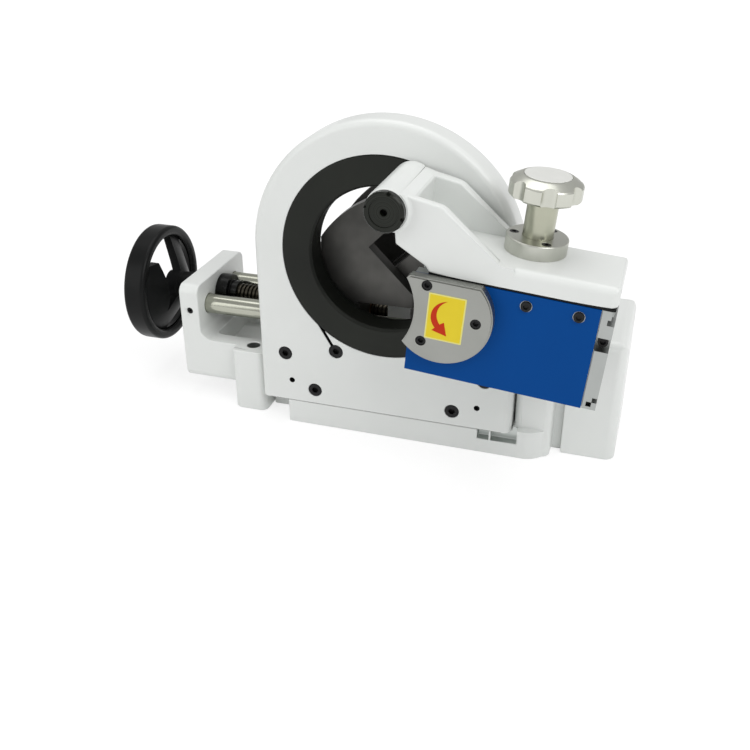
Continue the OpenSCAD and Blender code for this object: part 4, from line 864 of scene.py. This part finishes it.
@dataclass
class ToolHead(SubAssembly):
    """Gear block with its face plate, cover, spindle and saw blade.

    Attributes:
        front: Y of the cover's front face, in mm.
        plate_low: lower left corner of the direction plate in the head's frame, in mm.
        plate_high: upper right corner of the direction plate, in mm.
        plate_r: corner radius of the direction plate, in mm.
        margin: width of the plate's pale margin, in mm.
        field_r: corner radius of the plate's yellow field, in mm.
        film: thickness of one layer of the plate, in mm.
        proud: height of each layer over the one below it, in mm.
        screw_x: places of the face plate's screws right of the pivot, in mm.
        screw_z: level of the face plate's screws from the pivot, in mm.
        spot_r: radius of the bare steel rims round those screws, partly spotfacing and partly painted
            highlight, in mm.
        spot_back: Y where the bare rims end, in mm.
        arrow: outline of the curved arrow in the head's frame, as arcs and corners, in mm.
    """

    front: float = -198.0
    plate_low: Spot = (51.8, -117.2)
    plate_high: Spot = (88.6, -69.0)
    plate_r: float = 0.8
    margin: float = 1.4
    field_r: float = 0.5
    film: float = 0.3
    proud: float = 0.15
    screw_x: tuple[float, ...] = (142.5, 192.0)
    screw_z: float = -69.0
    spot_r: float = 5.8
    spot_back: float = -180.0
    arrow: dict[str, tuple[Spot, ...]] = field(default_factory=lambda: {
        "outer": ((70.9, -75.1), (57.6, -85.0), (61.2, -104.5)),
        "head": ((58.4, -107.6), (73.5, -111.2), (69.6, -97.2)),
        "inner": ((65.6, -100.2), (61.6, -88.0), (70.9, -75.1)),
    })

    def to_frame(self, x: float, z: float, y: float) -> Vector:
        """Turns a place right of and above the pivot, in mm, into a point of the machine, in metres."""
        turn = Matrix.Rotation(math.radians(HEAD.tilt), 3, "Y")
        return (turn @ Vector((x, y, z)) + Vector(HEAD.origin)) * MM

    def sheet(self, name: str, outline: Sequence[Spot], layer: int, finish: Finish) -> bpy.types.Object:
        """Makes one thin layer that lies on the cover.

        Args:
            name: name of the piece.
            outline: corners in the head's frame, in mm.
            layer: 0 for the lowest layer.
            finish: its finish.

        Returns:
            The layer as a closed mesh.
        """
        mesh = bmesh.new()
        back = self.front - layer * self.proud
        sides = (back, back - self.film)
        rows = [[mesh.verts.new(self.to_frame(x, z, y)) for x, z in outline] for y in sides]
        for row in rows:
            mesh.faces.new(row)
        for i in range(len(outline)):
            j = (i + 1) % len(outline)
            mesh.faces.new((rows[0][i], rows[0][j], rows[1][j], rows[1][i]))
        LOG.info("%s: %s", name, finish.name)
        return make_piece(name, mesh, self.body, finish)

    def panel(self, inset: float, radius: float) -> list[Spot]:
        """Outlines the direction plate with rounded corners.

        Args:
            inset: distance inside the plate's edge, in mm.
            radius: corner radius, in mm.

        Returns:
            Corners of the outline, in mm.
        """
        x0, z0 = (c + inset + radius for c in self.plate_low)
        x1, z1 = (c - inset - radius for c in self.plate_high)
        middles = ((x1, z1, 0), (x0, z1, 90), (x0, z0, 180), (x1, z0, 270))
        turns = [(x, z, math.radians(start + step)) for x, z, start in middles for step in (0, 30, 60, 90)]
        return [(x + radius * math.cos(turn), z + radius * math.sin(turn)) for x, z, turn in turns]

    @staticmethod
    def bow(points: Sequence[Spot], steps: int = 14) -> list[Spot]:
        """Draws the arc through three points.

        Args:
            points: first, middle and last point.
            steps: straight pieces in the arc.

        Returns:
            Points along the arc.
        """
        (ax, ay), (bx, by), (cx, cy) = points
        d = 2 * (ax * (by - cy) + bx * (cy - ay) + cx * (ay - by))
        a2, b2, c2 = ax * ax + ay * ay, bx * bx + by * by, cx * cx + cy * cy
        ux = (a2 * (by - cy) + b2 * (cy - ay) + c2 * (ay - by)) / d
        uy = (a2 * (cx - bx) + b2 * (ax - cx) + c2 * (bx - ax)) / d
        radius = math.hypot(ax - ux, ay - uy)
        first, middle, last = (math.atan2(y - uy, x - ux) for x, y in points)
        sweep = (last - first) % math.tau
        if (middle - first) % math.tau > sweep:
            sweep -= math.tau
        turns = [first + sweep * i / steps for i in range(steps + 1)]
        return [(ux + radius * math.cos(turn), uy + radius * math.sin(turn)) for turn in turns]

    def spots(self) -> list[Zone]:
        """Finds the bare steel rims round the face plate's screws, partly spotfacing and partly painted
        highlight.
        """
        places = [self.to_frame(x, self.screw_z, 0.0) / MM for x in self.screw_x]
        return [Zone.bore(p.x, p.z, self.spot_r, self.front, self.spot_back) for p in places]

    def direction_plate(self) -> None:
        """Lays the yellow plate and its curved arrow on the cover."""
        self.sheet("direction_plate_margin", self.panel(0.0, self.plate_r), 0, PALE_VINYL)
        self.sheet("direction_plate_field", self.panel(self.margin, self.field_r), 1, YELLOW_VINYL)
        outer, inner = (self.bow(self.arrow[side]) for side in ("outer", "inner"))
        self.sheet("direction_arrow", outer + list(self.arrow["head"]) + inner[:-1], 2, RED_INK)

    def build(self) -> None:
        """Dresses the head and lays its plate."""
        self.dress(GROUND_STEEL.at("block", replace(HEAD, axis=2)), MACHINED_EDGE, "tool_block")
        self.dress(GROUND_STEEL, SMALL_EDGE, "feed_rack")
        # Bare steel rims round the face plate's screws: partly spotfacing and partly painted highlight
        spotfaced_with_painted_highlight = BLUE_COAT.cut_through("spotfaced_with_painted_highlight", GROUND_STEEL, *self.spots())
        self.dress(spotfaced_with_painted_highlight, PLATE_EDGE, "face_plate")
        self.dress(SATIN_ALUMINIUM, PLATE_EDGE, "cover_plate")
        self.dress(BLACK_OXIDE, SMALL_EDGE, "face_screws", "cover_screws", "rack_screws")
        self.dress(BLACK_OXIDE, SMALL_EDGE, "pinch_screw", "blade_nut")
        turned = replace(GROUND_STEEL.at("spindle", SPINDLE), lay=Lay.RINGS)
        self.dress(turned, SMALL_EDGE, "spindle_bearings", "worm_bearings")
        self.dress(turned, SMALL_EDGE, "spindle", "blade_flange", "worm_shaft")
        self.dress(BEARING_BRONZE.at("wheel", SPINDLE), SMALL_EDGE, "worm_wheel")
        self.dress(BLADE_STEEL, TOOTH_EDGE, "saw_blade")
        self.direction_plate()


@dataclass(frozen=True)
class Lamp:
    """One soft box.

    Attributes:
        name: name of the lamp.
        place: its position, in metres.
        side: side of its square, in metres.
        watts: radiant power.
        aim: the point it faces, in metres.
    """

    name: str
    place: Point
    side: float
    watts: float
    aim: Point = (0.0, -0.05, 0.15)

    def build(self) -> None:
        """Hangs the lamp."""
        data = bpy.data.lights.new(self.name, "AREA")
        data.size = self.side
        data.energy = self.watts
        lamp = bpy.data.objects.new(self.name, data)
        lamp.location = self.place
        lamp.rotation_euler = (Vector(self.aim) - Vector(self.place)).to_track_quat("-Z", "Y").to_euler()
        bpy.context.scene.collection.objects.link(lamp)


@dataclass
class Studio:
    """Floor, soft light and camera.

    Attributes:
        eye: camera position, in mm.
        azimuth: camera's turn from straight ahead, in degrees.
        elevation: camera's height angle, in degrees.
        roll: camera's roll, in degrees.
        focal: focal length, in pixels.
        picture: width of the picture, in pixels.
        sensor: width of the camera's sensor, in mm.
        sight: farthest distance that the camera sees, in metres.
        reach: half side of the floor, in metres.
        paper: colour of the floor.
        white: strength of the floor's own white.
        glow: share of the floor's own white beside the machine, where its shadow falls.
        white_from: distances between which the floor becomes plain white, in metres.
        sky: strength of the even light from all round.
        lamps: the soft boxes.
    """

    eye: Point = (279.62, -1002.66, 600.59)
    azimuth: float = 17.547
    elevation: float = 28.580
    roll: float = -0.094
    focal: float = 952.78
    picture: float = 750.0
    sensor: float = 36.0
    sight: float = 100.0
    reach: float = 12.0
    paper: str = "#F4F4F4"
    white: float = 1.18
    glow: float = 0.62
    white_from: Spot = (0.7, 1.8)
    sky: float = 0.55
    lamps: tuple[Lamp, ...] = (
        Lamp("key_right", (1.7, -1.3, 1.9), side=1.5, watts=24.0),
        Lamp("top", (-0.2, 0.2, 2.3), side=1.8, watts=16.0),
        Lamp("fill_left", (-1.7, -1.6, 1.0), side=1.6, watts=10.0),
    )

    def camera(self) -> None:
        """Sets the camera where the photograph was taken from."""
        az, el, roll = (math.radians(a) for a in (self.azimuth, self.elevation, self.roll))
        back = Vector((math.sin(az) * math.cos(el), -math.cos(az) * math.cos(el), math.sin(el)))
        right = Vector((math.cos(az), math.sin(az), 0.0))
        up = back.cross(right)
        sine, cosine = math.sin(roll), math.cos(roll)
        right, up = right * cosine + up * sine, up * cosine - right * sine
        data = bpy.data.cameras.new("camera")
        data.sensor_width = self.sensor
        data.lens = self.sensor * self.focal / self.picture
        data.clip_end = self.sight
        eye = bpy.data.objects.new("camera", data)
        turn = Matrix((right, up, back)).transposed().to_4x4()
        eye.matrix_world = Matrix.Translation(Vector(self.eye) * MM) @ turn
        bpy.context.scene.collection.objects.link(eye)
        bpy.context.scene.camera = eye

    def floor(self) -> None:
        """Lays the white floor."""
        mesh = bmesh.new()
        bmesh.ops.create_grid(mesh, x_segments=1, y_segments=1, size=self.reach)
        data = bpy.data.meshes.new("floor")
        mesh.to_mesh(data)
        mesh.free()
        ground = bpy.data.objects.new("floor", data)
        bpy.context.scene.collection.objects.link(ground)
        paper = bpy.data.materials.new("paper_backdrop_white")
        paper.use_nodes = True
        tree = paper.node_tree
        tree.nodes.clear()
        rays = add_node(tree, "ShaderNodeLightPath").outputs
        seen = rays["Is Camera Ray"]
        for kind in ("Is Glossy Ray", "Is Transmission Ray"):
            seen = add_node(tree, "ShaderNodeMath", {0: seen, 1: rays[kind]}, operation="MAXIMUM").outputs[0]
        spot = add_node(tree, "ShaderNodeNewGeometry").outputs["Position"]
        away = add_node(tree, "ShaderNodeVectorMath", {0: spot}, operation="LENGTH").outputs["Value"]
        near, far = self.white_from
        glowing = add_node(tree, "ShaderNodeMapRange", {
            "Value": away, "From Min": near, "From Max": far, "To Min": self.glow, "To Max": 1.0})
        share = add_node(tree, "ShaderNodeMath", {0: seen, 1: glowing.outputs[0]}, operation="MULTIPLY")
        matt = add_node(tree, "ShaderNodeBsdfDiffuse", {"Color": linear(self.paper)})
        glow = add_node(tree, "ShaderNodeEmission", {"Color": linear(PLAIN_WHITE), "Strength": self.white})
        both = add_node(tree, "ShaderNodeMixShader", {
            0: share.outputs[0], 1: matt.outputs[0], 2: glow.outputs[0]})
        add_node(tree, "ShaderNodeOutputMaterial", {"Surface": both.outputs[0]})
        data.materials.append(paper)

    def light(self) -> None:
        """Sets the even light and hangs the soft boxes."""
        world = bpy.data.worlds.new("studio")
        bpy.context.scene.world = world
        world.use_nodes = True
        tree = world.node_tree
        tree.nodes.clear()
        path = add_node(tree, "ShaderNodeLightPath")
        level = add_node(tree, "ShaderNodeMapRange", {
            "Value": path.outputs["Is Camera Ray"], "To Min": self.sky, "To Max": 1.0})
        even = {"Color": linear(PLAIN_WHITE), "Strength": level.outputs[0]}
        sky = add_node(tree, "ShaderNodeBackground", even)
        add_node(tree, "ShaderNodeOutputWorld", {"Surface": sky.outputs[0]})
        for lamp in self.lamps:
            lamp.build()

    def build(self) -> None:
        """Sets up the camera, the floor and the light."""
        self.camera()
        self.floor()
        self.light()
        bpy.context.scene.view_settings.view_transform = "Standard"


def main() -> None:
    """Builds the sub-assemblies in order."""
    logging.basicConfig(level=logging.INFO, format="%(message)s")
    Studio().build()
    for group in (
        BedAndHousing("base"),
        ViceScrew("vice_screw"),
        ViceJaws("left_jaw"),
        OrbitRing("ring"),
        SwingArm("arm"),
        ToolHead("tool"),
    ):
        group.build()


if __name__ == "__main__":
    main()
